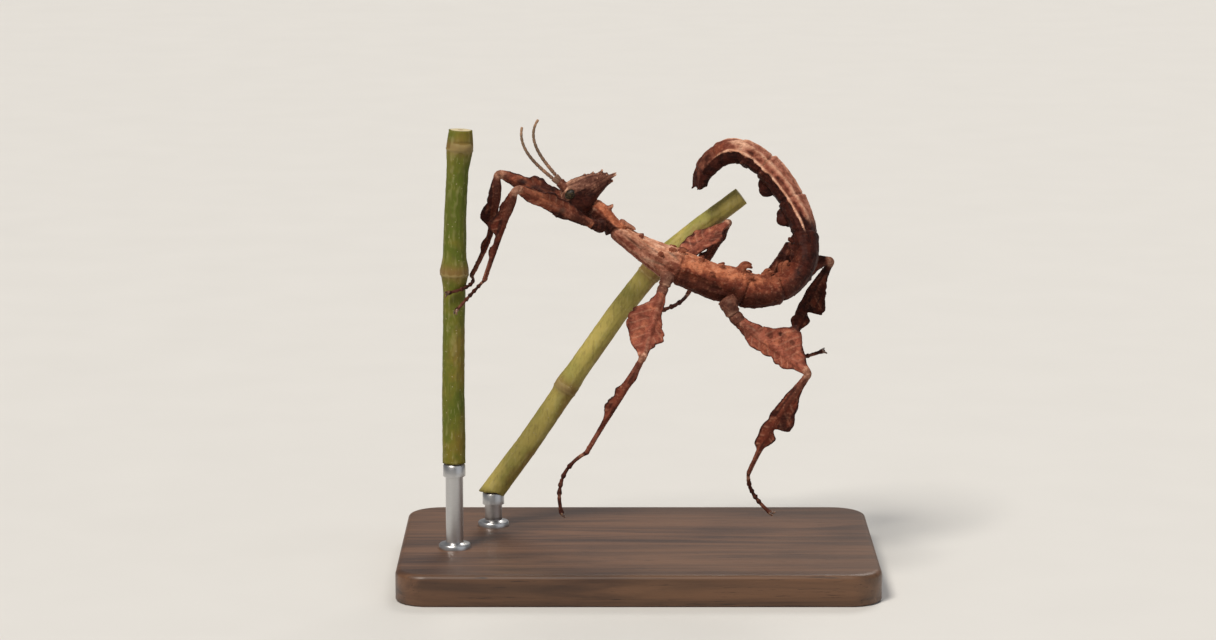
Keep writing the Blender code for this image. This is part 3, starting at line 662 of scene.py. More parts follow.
def body_relief(arcs, degrees):
    """Give the height of the body's grooves, rims, keels and wrinkles over its plain ovals."""
    away = np.abs(degrees)
    relief = 0.06 * flat_cloud(arcs, degrees, 2.6, 9.0, 11) * step_up(arcs, 3.5, 5.0)
    relief += 0.045 * flat_cloud(arcs, degrees, 0.34, 34.0, 12)
    ridge = past_ridge(arcs, degrees)
    for number, end in enumerate(segment_ends(degrees)):
        depth = 2.0 if number == 0 else 1.0 - 0.6 * step_up(arcs, 46.0, 49.0)
        relief -= 0.17 * depth * hump(arcs, end + 0.08, 0.16)
        relief += 0.1 * depth * hump(arcs, end - 0.3, 0.28)
    hood = step_up(arcs, 4.3, 3.9)
    relief += 0.14 * hump(arcs, 0.4, 0.3) * step_up(away, 120, 90)
    relief += hood * (0.15 * hump(away, 74, 9) - 0.1 * hump(away, 0, 9))
    thorax = step_up(arcs, 4.5, 8.0) * step_up(arcs, 23.0, 20.0)
    for middle, drift, height, width in THORAX_KEELS:
        relief += height * thorax * hump(away, middle + drift * (arcs - 10), width)
    relief -= 0.07 * streaks(arcs, degrees)
    tail = step_up(arcs, 33.0, 37.0)
    panel = 0.16 * hump(ridge, 42, 8) - 0.2 * hump(ridge, 21, 12)
    return relief + tail * (0.22 * hump(ridge, 0, 6) + panel * step_up(arcs, 51.0, 48.0))


def body_marks(arcs, degrees):
    """Give the colour marks of the body for each arc length and place round it."""
    away = np.abs(degrees)
    ends = segment_ends(degrees)
    blotch = flat_cloud(arcs, degrees, 1.3, 30.0, 21)
    fine = flat_cloud(arcs, degrees, 0.5, 14.0, 23)
    streak = flat_cloud(arcs, degrees, 3.2, 7.5, 22)
    neck = step_up(arcs, ends[0] + 0.1, ends[0] - 0.1)
    front = step_up(arcs, 14.2, 12.4) * (1 - neck)
    middle = step_up(arcs, 12.6, 14.4) * step_up(arcs, 35.5, 29.5)
    groove = sum(hump(arcs, end + 0.08, 0.14) for end in ends)
    # the bright tan saddle over the thorax, which fades out over the abdomen, and the dark flank;
    # the saddle is partly painted light on the top of the body, and the flank's dark is partly
    # painted shade on its lower side
    low = np.interp(arcs, (14, 20, 26, 34), (92, 88, 66, 44))
    saddle_and_top_light = middle * step_up(away + 15 * blotch + 9 * fine, low + 14, low - 26)
    saddle_and_top_light = saddle_and_top_light * step_up(arcs, 31.5, 16.0)
    flank = middle * step_up(away + 14 * blotch + 9 * fine, low - 4, low + 30)
    hood = neck * step_up(away + 12 * blotch + 8 * fine, 88, 56)
    # the pale tan shoulder on top of the front thorax is partly painted highlight
    shoulder_and_highlight = front * step_up(away + 14 * streak, 100, 50)
    side = front * step_up(away + 14 * streak, 60, 96)
    tan = saddle_and_top_light * (0.8 + 0.45 * blotch) + 0.85 * hood + (0.7 + 0.3 * streak) * shoulder_and_highlight
    ridge = past_ridge(arcs, degrees)
    # the back of the abdomen's curl, inside the pale ridge, is painted shade: it turns dark and
    # loses its tan and most of its pale
    inner = step_up(arcs, 32.0, 36.5) * step_up(ridge + 9 * fine, 1, -9)
    bend = step_up(arcs, 26.0, 34.0) * step_up(arcs, 38.0, 35.5)
    panel = step_up(arcs, 34.5, 37.0) * step_up(arcs, 51.5, 48.5) * step_up(ridge, -8, 1)
    inside = 1 - np.clip(sum(hump(arcs, end, 0.75) for end in ends), 0, 1)
    centre = panel * hump(ridge, 21, 12) * inside * (0.8 + 0.7 * fine)
    tip = step_up(arcs, 51.0, 53.5)
    dark = 0.8 * streaks(arcs, degrees) + 0.66 * flank + inner + 0.85 * bend + 0.7 * centre
    dark += groove * (0.2 + 0.45 * panel) + (0.45 + 0.4 * fine) * tip
    # the neck term darkens the sides and underside of the first segment, under the head: partly
    # painted shade
    dark += 0.6 * hump(arcs, 56.4, 1.2) + neck * step_up(away + 10 * fine, 64, 100) * 0.85
    dark += 0.35 * front * step_up(-streak, 0.25, 0.6)
    rim = hump(ridge, 0, 5.5) * step_up(arcs, 33.8, 35.8) * step_up(arcs, 53.5, 50.5)
    collar = hump(arcs, 0.45, 0.26) * step_up(away, 110, 80) + neck * hump(away, 78, 6)
    pale = rim + 0.25 * collar + shoulder_and_highlight * (0.56 + 0.25 * streak) + side * (0.3 + 0.2 * streak)
    pale += panel * (0.3 * hump(ridge, 42, 9) + 0.3 + 0.28 * step_up(arcs, 47.5, 49.5))
    # the pale spots on the saddle are partly painted highlight
    pale = pale * (1 - 0.8 * centre) * (1 - tip) + saddle_and_top_light * 0.3 * step_up(fine, 0.2, 0.7)
    rosy = panel * (0.85 + 0.3 * blotch) * (1 - tip) + 0.7 * front
    grey = neck * step_up(away, 84, 100) + 0.6 * side + 0.2 * flank + 0.5 * tip
    made = {"tan": tan * (1 - inner), "dark": dark, "pale": pale * (1 - 0.9 * inner),
            "rosy": rosy, "grey": grey, "vein": rim}
    return {name: np.clip(mark, 0, 1) for name, mark in made.items()}


def body_outline(arcs):
    """Give the body's reach up, down and sideways, with each segment widest near its rear."""
    above, below, aside = rounded(MIDLINE, arcs, 0.9)[3:]
    swell = np.ones_like(arcs)
    for start, end in zip(SEGMENT_ENDS[2:], SEGMENT_ENDS[3:]):
        inside = (arcs >= start) & (arcs < end) & (arcs > SEGMENT_ENDS[2])
        share = (arcs - start) / (end - start)
        flare = 0.07 if end < 48 else 0.03
        swell = np.where(inside, 1 - flare / 2 + flare * np.minimum(share / 0.9, 1.0), swell)
    return above * swell, below * swell, aside * swell


def add_body(heap):
    """Add the thorax and the abdomen as one long tube, then their spines and lobes."""
    arcs = np.linspace(0.0, MIDLINE[-1, 0], BODY_RINGS)
    places, _, left, back = body_frames(arcs)
    add_oval_tube(heap, places, left, back, body_outline(arcs), arcs, BODY_SIDES,
                  body_relief, body_marks)
    for arc, degrees, height, lean, hook, base in BODY_SPINES:
        for side in (-1, 1):
            root, out, onward = body_surface(arc, degrees * side)
            tone = 0.8 if arc > 30 else 0.35
            rim = np.linspace(0.0, 0.5, 16) ** 2 + 0.25 * (arc < 6)
            add_spine(heap, root, unit(out + onward * lean), height, base, onward, hook,
                      tan=0.35 * (arc < 30), dark=tone * (1 - rim), pale=rim)
    for arc, degrees, height, length in BACK_LOBES:
        for side in (-1, 1):
            root, out, onward = body_surface(arc, degrees * side)
            across = np.cross(out, onward)
            add_blob(heap, root - out * 0.1, (onward, out, across), (length, height + 0.1, 0.34),
                     dark=1.0)
    add_tail(heap)


def body_surface(arc, degrees):
    """Give a place on the body's surface, the way out of it and the way to the tail."""
    place, onward, left, back = (each[0] for each in body_frames(arc))
    above, below, aside = (each[0] for each in body_outline(np.array([arc])))
    angle = math.radians(degrees)
    tall = above if math.cos(angle) > 0 else below
    root = place + back * (tall * math.cos(angle)) + left * (aside * math.sin(angle))
    return root, back * math.cos(angle) + left * math.sin(angle), onward


def add_tail(heap):
    """Add the small blunt plates and the pair of short tail feelers at the abdomen's tip."""
    place, onward, left, back = (each[0] for each in body_frames(MIDLINE[-1, 0] - 0.4))
    middle = place + onward * 0.1 - back * 0.1
    add_blob(heap, middle, (onward, back, left), (0.75, 0.5, 0.82), dark=0.9)
    for side in (-1, 1):
        root = place + left * (0.5 * side) - back * 0.35
        way = unit(onward + left * (0.3 * side) - back * 0.45)
        add_spine(heap, root, way, 1.05, 0.2, -back, 0.3, dark=0.8, pale=0.1)


# ---------------------------------------------------------------- the head

def head_axes():
    """Give the ways from the mouth to the crown, to the left and to the brow."""
    onward = unit(CROWN - MOUTH)
    return onward, -ACROSS, np.cross(-ACROSS, onward)


def head_surface(share, degrees):
    """Give a place on the head's surface and the way out of it."""
    _, left, brow = head_axes()
    rows, *columns = HEAD_PROFILE.T
    above, below, aside = (np.interp(share, rows, column) for column in columns)
    angle = math.radians(degrees)
    tall = above if math.cos(angle) > 0 else below
    place = MOUTH + (CROWN - MOUTH) * share
    root = place + brow * (tall * math.cos(angle)) + left * (aside * math.sin(angle))
    return root, unit(brow * math.cos(angle) / tall + left * math.sin(angle) / aside)


def head_relief(shares, degrees):
    """Give the height of the brow, the cheeks, the eye rims and the wrinkles on the head."""
    away = np.abs(degrees)
    along = (shares - EYE_PLACE[0]) * HEAD_LENGTH
    from_eye = np.hypot(along, (away - EYE_PLACE[1]) * CHEEK_DEGREE)
    relief = 0.07 * hump(from_eye, 0.8, 0.2) - 0.05 * hump(from_eye, 0.0, 0.45)
    for middle, width, height, low, high in HEAD_KEELS:
        relief += height * hump(away, middle, width) * step_up(shares, low, high)
    relief += 0.8 * step_up(away, 95, 150) * hump(shares, 0.32, 0.22)
    return relief + 0.05 * flat_cloud(shares * HEAD_LENGTH, degrees, 0.5, 16.0, 31)


def head_marks(shares, degrees):
    """Give the colour marks of the head."""
    away = np.abs(degrees)
    blotch = flat_cloud(shares * HEAD_LENGTH, degrees, 0.7, 22.0, 32)
    streak = flat_cloud(shares * HEAD_LENGTH, degrees, 2.6, 6.5, 33)
    above_eye = hump(shares, 0.19, 0.07) * hump(away, 43, 9)
    # the dark cheeks are partly painted shade on the lower sides of the head
    cheek_dark_and_shade = step_up(away + 10 * blotch, 70, 92) * step_up(away, 172, 140)
    cheek_dark_and_shade = cheek_dark_and_shade * step_up(shares, 0.75, 0.2)
    # the pale brow is partly painted highlight, on the top of the head
    brow = step_up(away, 66, 24) * step_up(shares, 1.0, 0.5)
    pale = above_eye * (0.35 + blotch) + brow * (0.46 - 0.25 * shares + 0.4 * streak)
    pale = np.clip(pale, 0, 1)
    tan = 0.1 * step_up(away, 75, 25) * step_up(shares, 0.85, 0.3)
    # the darker underside of the head is partly painted shade
    dark = cheek_dark_and_shade + 0.6 * step_up(away + 10 * blotch, 85, 125) + 0.25 * step_up(shares, 0.6, 1.0)
    dark = np.clip(dark + 0.5 * step_up(-streak, 0.1, 0.6), 0, 1)
    return {"grey": 1.0, "pale": pale, "tan": tan, "dark": dark, "rosy": 0.0, "vein": 0.0}


def add_head(heap):
    """Add the head cone, its crown of spines, the neck and the parts of the mouth."""
    onward, left, brow = head_axes()
    shares = np.linspace(0.0, 1.0, HEAD_RINGS)
    places = MOUTH + (CROWN - MOUTH) * shares[:, None]
    add_oval_tube(heap, places, left[None], brow[None], rounded(HEAD_PROFILE, shares, 0.07),
                  shares, HEAD_SIDES, head_relief, head_marks)
    for share, degrees, height, lean, base in CROWN_SPINES:
        for side in (-1, 1):
            root, out = head_surface(share, degrees * side)
            add_spine(heap, root, unit(out + onward * lean), height, base, onward, 0.2,
                      grey=1.0, dark=0.3, pale=np.linspace(0.0, 1.0, 16) ** 3)
    add_neck(heap)
    add_mouth(heap)
    add_antenna_sockets(heap)


def add_neck(heap):
    """Add the soft folded skin between the head and the first thorax segment."""
    _, _, brow = head_axes()
    _, way, _, back = (each[0] for each in body_frames(0.6))
    back_of_head = MOUTH + (CROWN - MOUTH) * 0.42 - brow * 0.55
    inside_thorax = NECK + way * 0.6 - back * 0.05
    places = back_of_head + (inside_thorax - back_of_head) * np.linspace(0, 1, 40)[:, None]
    radius = 0.98 + 0.06 * np.cos(np.linspace(0, 9 * math.pi, 40))
    add_tube(heap, places, ACROSS, radius, 40, grey=0.9, dark=0.6)
    throat, way, aside, back = (each[0] for each in body_frames(0.3))
    add_blob(heap, throat - back * 0.85 - way * 0.35, (way, back, aside), (0.95, 0.75, 0.95),
             grey=0.7, dark=0.75)


def add_mouth(heap):
    """Add the upper lip, the jaws and two pairs of short jointed mouth feelers."""
    onward, left, brow = head_axes()
    chin = MOUTH - onward * 0.1
    add_blob(heap, chin - onward * 0.15 + brow * 0.3, (onward, left, brow), (0.62, 0.56, 0.34),
             grey=0.8, pale=0.25)
    for side in (-1, 1):
        jaw = chin - onward * 0.1 + left * (0.36 * side) - brow * 0.22
        add_blob(heap, jaw, (onward, left, brow), (0.62, 0.34, 0.52), grey=0.7, dark=0.5)
        for reach, spread, length, radius in ((0.25, 0.5, 1.25, 0.17), (-0.05, 0.3, 0.85, 0.14)):
            drop = 0.62 + 0.2 * (reach < 0)
            root = chin + onward * reach + left * (spread * side) - brow * drop
            first = unit(-brow - onward * 0.25 + left * (0.35 * side))
            last = unit(-brow * 0.4 - onward * 0.9 + left * (0.1 * side))
            places = curl(root, first, last, length, 24, 1.0)
            beads = 1 - 0.28 * np.abs(np.cos(np.linspace(0.5, 3.4, 25) * math.pi)) ** 6
            add_tube(heap, places, onward, radius * beads, 14,
                     grey=0.6, pale=np.linspace(0.1, 0.5, 25)[:, None])


def add_antenna_sockets(heap):
    """Add the raised ring of skin from which each antenna grows."""
    for first, _, side in ANTENNAE.values():
        way = direction(*first)
        places = ANTENNA_ROOT + ANTENNA_SPREAD * side + way * np.linspace(-1.0, 0.12, 12)[:, None]
        add_tube(heap, places, unit(np.cross(way, ACROSS)), np.linspace(0.55, 0.38, 12), 24,
                 grey=0.6, tan=0.2, dark=0.35)


# ---------------------------------------------------------------- the legs

def leaf_frame(way, turn):
    """Give a leaf's leading edge and flat side, square to its rib and turned about it."""
    lead = unit(np.cross(ACROSS, way))
    flat = np.cross(way, lead)
    angle = math.radians(turn)
    turned = lead * math.cos(angle) + flat * math.sin(angle)
    return turned, np.cross(way, turned)


def toothed(reach, along, seed):
    """Cut a leaf's edge into uneven lobes with small spines, where it is wide."""
    wide = step_up(reach, 0.6, 1.3)
    pitch = along / 1.95 + 0.6 * flat_cloud(along, along * 0, 2.2, 1.0, seed)
    lobes = np.abs(np.sin(math.pi * pitch)) ** 0.55
    spines = (1 - np.abs(np.sin(math.pi * along / 0.42))) ** 3
    uneven = flat_cloud(along, along * 0, 0.8, 1.0, seed + 1)
    teeth = 0.24 * lobes - 0.16 + 0.12 * uneven + 0.06 * spines * (uneven > 0.1)
    return np.maximum(reach + wide * teeth, 0.2)


def leaf_veins(along, offset, seed):
    """Give the share of vein at each place on a leaf's blade."""
    wander = 0.2 * flat_cloud(along, offset, 2.0, 1.2, seed)
    line = (along - 0.75 * np.abs(offset)) / VEIN_PITCH + wander
    return hump(np.abs(line - np.round(line)) * VEIN_PITCH, 0, 0.12)


def add_leaf(heap, start, end, edges, rib, turn, bow, seed, tints_and_shade, is_tibia):
    """Add one leaf-edged length of leg: a round rib with a thin veined blade on each side."""
    length = np.linalg.norm(end - start)
    shares = np.linspace(0.0, 1.0, int(length / LEAF_STEP))
    way = (end - start) / length
    lead, flat = leaf_frame(way, turn)
    along = shares * length
    ahead, behind = rounded(edges, shares, 0.022)
    ahead = toothed(ahead, along, seed)[:, None]
    behind = toothed(behind, along, seed + 7)[:, None]
    along = along[:, None]
    thick = (rib[0] + (rib[1] - rib[0]) * shares)[:, None]
    turn_round = full_turn(LEAF_SIDES)
    spread = np.cos(turn_round)
    across = np.sign(spread) * np.abs(spread) ** 1.35
    reach = np.where(across > 0, ahead, behind)
    offset = across * reach
    share_out = np.abs(across)[None, :] * np.ones_like(reach)
    blade = BLADE_THICK[0] + (BLADE_THICK[1] - BLADE_THICK[0]) * share_out
    inset = np.clip((1 - share_out) * reach / 0.24, 0, 1)
    blade = np.minimum(blade, thick * 0.9) * np.sqrt(inset * (2 - inset))
    ridge = thick * np.sqrt(np.clip(1 - (offset / thick) ** 2, 0, 1))
    on_blade = step_up(np.abs(offset), thick * 0.8, thick * 1.4)
    vein = leaf_veins(along, offset, seed + 3) * on_blade * step_up(share_out, 0.99, 0.8)
    depth = (blade**4 + ridge**4) ** 0.25 + 0.09 * vein * inset
    depth = depth + 0.03 * flat_cloud(along, offset, 0.5, 0.5, seed + 4) * on_blade * inset
    ruffle = 0.3 * np.sin(along / 1.7 + seed) + 0.25 * np.sin(along / 0.8 + 2 * seed)
    lift = ruffle * (np.abs(offset) / 3.0) ** 1.6 * np.sign(across)
    high = np.where(np.sin(turn_round) >= 0, 1.0, -1.0)
    shares = shares[:, None]
    grid = start + way * along[..., None]
    grid = grid + lead * (offset + bow * np.sin(math.pi * shares))[..., None]
    grid = grid + flat * (lift + high * depth)[..., None]
    heap.loft(grid, **leaf_marks(shares, offset, reach, vein, thick, tints_and_shade, is_tibia, seed))


def leaf_marks(shares, offset, reach, vein, thick, tints_and_shade, is_tibia, seed):
    """Give the colour marks of a leaf-edged length of leg."""
    # on the far legs the dark tint is partly painted shade
    rosy, tan, dark = tints_and_shade
    along = shares * 13.0
    blotch = flat_cloud(along, offset, 1.1, 0.9, seed + 5)
    streak = flat_cloud(along, offset, 2.4, 0.35, seed + 6)
    edge = np.abs(offset) / np.maximum(reach, 0.3)
    rim = step_up(edge, 0.68 + 0.16 * rosy, 0.98) * step_up(reach, 0.42, 0.8)
    on_rib = step_up(np.abs(offset), thick * 1.2, thick * 0.7)
    if is_tibia:
        knee, shank, uneven = step_up(shares, 0.07, 0.0), step_up(shares, 0.74, 0.82), 0.4
    else:
        knee, shank, uneven = step_up(shares, 0.93, 1.0), 0.0, 1.2
    spots = step_up(blotch, 0.2, 0.55) * (1 - on_rib)
    shaded = dark * (0.8 + uneven * blotch) * (1 - 0.45 * shank) + 0.85 * rim * (1 - 0.6 * rosy)
    streaked = (0.45 - 0.15 * rosy) * step_up(streak, 0.25, 0.6)
    made = {
        "rosy": rosy * (1 - 0.5 * rim) * (1 - 0.5 * on_rib * (shares < 0.3)),
        "tan": tan * (0.7 + 0.9 * streak) + 0.35 * rosy * step_up(-blotch, 0.2, 0.6) + 0.15 * knee,
        "dark": shaded + streaked + 0.35 * spots - 0.4 * knee,
        "pale": 0.45 * knee + 0.4 * on_rib * rosy * (0.6 + 0.6 * streak) + 0.25 * vein * rosy
        + 0.5 * tan * step_up(-streak, 0.1, 0.5) * (1 - rim),
        "grey": 0.5 * shank + 0.55 * on_rib * step_up(shares, 0.45, 0.1),
        "vein": vein,
    }
    return {name: np.clip(mark, 0, 1) for name, mark in made.items()}


def add_coxa(heap, root, out, end, way, widths, shade):
    """Add the short bent joint between the body's flank and the femur, ringed by folds."""
    reach = np.linalg.norm(end - root)
    shares = np.linspace(-0.12, 1.05, 48)[:, None]
    bend = np.clip(shares * (1 - shares), 0, 1)
    places = root + (end - root) * shares + (out * (1 - shares) - way * shares) * (bend * reach)
    radius = widths[0] + (widths[1] - widths[0]) * shares[:, 0]
    for middle, height, width in COXA_FOLDS:
        radius = radius + height * hump(shares[:, 0], middle, width)
    dapple = flat_cloud(shares * reach, full_turn(40), 0.6, 0.7, 41)
    pale = (0.12 + 0.35 * dapple + 0.3 * hump(shares, 0.62, 0.08)) * (1 - shade)
    add_tube(heap, places, leaf_frame(way, 0)[0], radius, 40, grey=0.85,
             dark=np.clip(shade + 0.35 * dapple, 0, 1), pale=np.clip(pale, 0, 1))


def add_foot(heap, places, side, length, size):
    """Add the five joints of the foot, each swollen and darker towards its end."""
    shares = np.linspace(0, 1, len(places))
    radius = size * 0.92 + 0.06 * hump(shares, 0.0, 0.03)
    pad = 0.0
    for end in FOOT_JOINTS:
        radius = radius + 0.09 * hump(shares, end - 0.03, 0.03)
        radius = radius - 0.1 * hump(shares, end + 0.004, 0.012)
        pad += hump(shares, end - 0.035, 0.03)
    radius[-1] *= 0.8
    tone = flat_cloud(shares * length, shares * 0, 0.7, 1.0, 43)
    add_tube(heap, places, side, radius, 24, grey=0.55,
             pale=np.clip(0.12 + 0.35 * tone, 0, 1)[:, None],
             dark=np.clip(0.5 - 0.4 * tone + 0.3 * pad, 0, 1)[:, None])


def leg_points(name):
    """Work out where a leg's joints lie, from the flank to the claws."""
    arc, aside, up, coxa_way, coxa_length, femur, tibia, foot, toe, *turns, bow = LEGS[name]
    pair = name.split("_")[0]
    femur_length, tibia_length, tarsus_length = LEG_LENGTHS[pair]
    place, _, left, back = (each[0] for each in body_frames(arc))
    out = left if aside < 0 else -left
    root = place + out * abs(aside) + back * up
    hip = root + direction(*coxa_way) * coxa_length
    femur_way, tibia_way = direction(*femur), direction(*tibia)
    knee = hip + femur_way * femur_length
    ankle = knee + tibia_way * tibia_length
    toes = curl(ankle, direction(*foot), direction(*toe), tarsus_length, 90, 1.0)
    return root, out, hip, knee, ankle, toes, femur_way, tibia_way, turns, bow


def add_leg(heap, name, seed):
    """Add one leg from the flank outwards: coxa, femur, knee, tibia and foot."""
    root, out, hip, knee, ankle, toes, femur_way, tibia_way, turns, bow = leg_points(name)
    pair = name.split("_")[0]
    add_coxa(heap, root, out, hip, femur_way, COXA_RADIUS[pair], COXA_SHADES[pair])
    angle = math.acos(float(np.clip(femur_way @ tibia_way, -1, 1)))
    reach = KNEE_BEND * math.tan(angle / 2)
    inward = unit(tibia_way - femur_way * (tibia_way @ femur_way))
    femur_end = knee - femur_way * (reach * FEMUR_SHORT)
    shin_start = knee + tibia_way * (reach * TIBIA_SHORT)
    # the tints of the right legs carry painted shade
    femur_tint_and_shade, tibia_tint_and_shade = LEG_TINTS_AND_SHADE[name]
    add_leaf(heap, hip, femur_end, FEMUR_EDGES[pair], FEMUR_RIB, turns[0], 0.0,
             seed, femur_tint_and_shade, False)
    add_leaf(heap, shin_start, ankle, TIBIA_EDGES[pair], TIBIA_RIB, turns[1], bow,
             seed + 17, tibia_tint_and_shade, True)
    hub = knee - femur_way * reach + inward * KNEE_BEND
    bends = (np.linspace(-0.12, 1.12, 26) * angle)[:, None]
    places = hub + (femur_way * np.sin(bends) - inward * np.cos(bends)) * KNEE_BEND
    radius = KNEE_RADIUS + 0.03 * np.sin(np.linspace(0, math.pi, 26))
    add_tube(heap, places, leaf_frame(femur_way, turns[0])[0], radius, 24,
             grey=0.5, pale=0.4, dark=0.5 * tibia_tint_and_shade[2])
    add_foot(heap, toes, leaf_frame(tibia_way, 0)[0], LEG_LENGTHS[pair][2], TARSUS_RADIUS[pair])


def flesh_heap():
    """Pile up every form of the animal's flesh."""
    heap = Heap()
    add_body(heap)
    add_head(heap)
    for number, name in enumerate(LEGS):
        add_leg(heap, name, 50 + 23 * number)
    return heap


# ---------------------------------------------------------------- one skin

def drawn_skin(heap):
    """Draw one closed skin over the piled forms and ease it, with its points and marks."""
    holder = bpy.data.objects.new("flesh_forms", heap.mesh("flesh_forms"))
    bpy.context.scene.collection.objects.link(holder)
    remesh = holder.modifiers.new("one_skin", "REMESH")
    remesh.mode = "VOXEL"
    remesh.voxel_size = SKIN_VOXEL
    smooth = holder.modifiers.new("ease", "SMOOTH")
    smooth.factor = 0.5
    smooth.iterations = 3
    graph = bpy.context.evaluated_depsgraph_get()
    skin = bpy.data.meshes.new_from_object(holder.evaluated_get(graph))
    tree = kdtree.KDTree(heap.count)
    for number, point in enumerate(np.concatenate(heap.points)):
        tree.insert(point, number)
    tree.balance()
    points = read_vectors(skin, "co")
    nearest = np.array([tree.find(point)[1] for point in points])
    bpy.data.objects.remove(holder)
    return skin, points, {name: values[nearest] for name, values in heap.all_marks().items()}


def skin_detail(points, marks):
    """Give the height of the granules and fine folds of the cuticle, and a mark for its beads."""
    leafy = np.clip(marks["rosy"] + marks["vein"], 0, 1)
    away, number = pebbles(points, BEADS[0], 61)
    bead = step_up(away, 0.42, 0.1) * step_up(number, 0.45, 0.6)
    away, number = pebbles(points, GRIT[0], 71)
    grit = step_up(away, 0.5, 0.1) * step_up(number, 0.3, 0.7)
    folds = cloud(points, FOLDS[0], 81) + 0.6 * cloud(points, FOLDS[1], 82)
    height = BEADS[1] * bead * (1 - 0.6 * leafy) + GRIT[1] * grit + FOLD_HEIGHT * folds
    return height, np.clip(bead + 0.5 * grit, 0, 1)


def add_skin():
    """Make the animal's one skin, with its fine relief and its colour marks."""
    skin, points, marks = drawn_skin(flesh_heap())
    height, bead = skin_detail(points, marks)
    points = points + read_vectors(skin, "normal") * height[:, None]
    skin.vertices.foreach_set("co", points.astype(np.float32).ravel())
    write_marks(skin, {**marks, "bead": bead})
    apart = ("eye_", "antenna_", "perch_", "stand_")
    flesh = [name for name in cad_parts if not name.startswith(apart)]
    add_piece("insect_skin", skin, cuticle_finish(), flesh)


# ---------------------------------------------------------------- eyes, feelers and claws

def add_eyes():
    """Make the two compound eyes as shining domes set into the sides of the head."""
    onward = head_axes()[0]
    finish = eye_finish()
    for name, side in (("eye_left", 1), ("eye_right", -1)):
        root, out = head_surface(EYE_PLACE[0], EYE_PLACE[1] * side)
        along = unit(onward - out * (out @ onward))
        over = np.cross(out, along)
        heap = Heap()
        add_blob(heap, root - out * EYE_SINK, (along, over, out), EYE_REACH)
        add_piece(name + "_dome", heap.mesh(name + "_dome"), finish, [name])


def add_feelers():
    """Make the two antennae, each of a thick first joint, a short second and many thin ones."""
    finish = feeler_finish()
    for name, (first, last, side) in ANTENNAE.items():
        start = ANTENNA_ROOT + ANTENNA_SPREAD * side
        places = curl(start, direction(*first), direction(*last), ANTENNA_LENGTH,
                      ANTENNA_STEPS, ANTENNA_TURN)
        along = np.linspace(0, ANTENNA_LENGTH, ANTENNA_STEPS + 1)
        joints = (along - PEDICEL_END) / ANTENNA_JOINT
        beyond = along > PEDICEL_END + 0.05
        knots = 1 - np.abs(np.sin(math.pi * joints))
        radius = ANTENNA_RADIUS * (1 - 0.35 * along / ANTENNA_LENGTH)
        scape = SCAPE_RADIUS - 0.06 * hump(along, 0.0, 0.25)
        radius = np.where(along < SCAPE_END, scape, radius) - 0.045 * beyond * knots**3
        radius = radius - 0.1 * hump(along, SCAPE_END + 0.02, 0.07)
        radius = radius - 0.05 * hump(along, PEDICEL_END, 0.06)
        radius[-1] = 0.06
        band = np.floor(joints)
        tone = scatter(np.stack([band, band * 0, band * 0], axis=-1), 5)
        tone = np.where(along < PEDICEL_END, 0.35, tone)
        tone += 0.9 * hump(along, 7.2, 0.7) - hump(along, 8.7, 0.6)
        heap = Heap()
        add_tube(heap, places, ACROSS, radius, 20, pale=(along / 10)[:, None],
                 dark=np.clip(tone + 0.4 * beyond * knots**4, 0, 1)[:, None])
        add_piece(name + "_feeler", heap.mesh(name + "_feeler"), finish, [name])


def add_claws():
    """Make the pair of hooked claws and the soft pad at the end of each foot."""
    finish = claw_finish()
    length, base, splay, hook = CLAW
    for name in LEGS:
        *_, toes, _, tibia_way, _, _ = leg_points(name)
        way, lead, flat = (each[-1] for each in carried(toes, leaf_frame(tibia_way, 0)[0]))
        tip = toes[-1]
        heap = Heap()
        for side in (-1, 1):
            root = tip + flat * (0.12 * side) - way * 0.1
            add_spine(heap, root, unit(way + flat * (splay * side)), length, base, -lead, hook)
        add_blob(heap, tip + way * 0.08, (way, lead, flat), (0.2, 0.15, 0.17))
        add_piece("claws_" + name, heap.mesh("claws_" + name), finish, [])


# ---------------------------------------------------------------- the perch and the stand

def add_twig(node, line, finish, scars, seed):
    """Make one cut twig with swollen nodes, bud scars, ridged bark and sawn ends."""
    rows = np.array([place for place, _ in line])
    gaps = np.linalg.norm(np.diff(rows, axis=0), axis=1)
    known = np.concatenate([[0.0], np.cumsum(gaps)])
    along = np.append(np.arange(0.0, known[-1], TWIG_STEP), known[-1])
    table = np.column_stack([known, rows, [radius for _, radius in line]])
    *axes, radius = rounded(table, along, 1.2)
    places = np.stack(axes, axis=-1)
    places[0], places[-1] = rows[0], rows[-1]
    _, sides, ups = carried(places, ACROSS)
    angles = full_turn(TWIG_SIDES)
    along = along[:, None]
    ridges = 0.035 * flat_cloud(along, np.degrees(angles), 5.0, 11.0, seed)
    ridges += 0.02 * flat_cloud(along, np.degrees(angles), 0.5, 16.0, seed + 1)
    swelling = 0.0
    for where, heading in scars:
        turned = np.clip(np.cos(angles - math.radians(heading)), 0, 1)
        ridges += 0.25 * hump(along, where, 0.5) * turned**3
        ridges -= 0.16 * hump(along, where + 0.55, 0.16) * turned**6
        ridges += 0.07 * hump(along, where - 0.4, 0.12)
        swelling += hump(along, where, 0.9)
    out = ways_out(sides, ups, angles)
    grid = places[:, None, :] + out * (radius[:, None] + ridges)[..., None]
    # the lower end is cut level
    floor_cut = (places[0, 2] - grid[0, :, 2]) / (places[1, 2] - places[0, 2])
    grid[0] = grid[0] + (places[1] - places[0]) * floor_cut[:, None]
    heap = Heap()
    heap.loft(grid, tan=np.clip(swelling, 0, 1), grey=unit(out)[..., 2] * 0.5 + 0.5,
              vein=np.clip(0.5 + 9 * ridges, 0, 1))
    for end, inner in ((0, 1), (-1, -2)):
        add_sawn_end(heap, grid[end], unit(places[end] - places[inner]))
    add_piece(node + "_bark", heap.mesh(node + "_bark"), finish, [node])


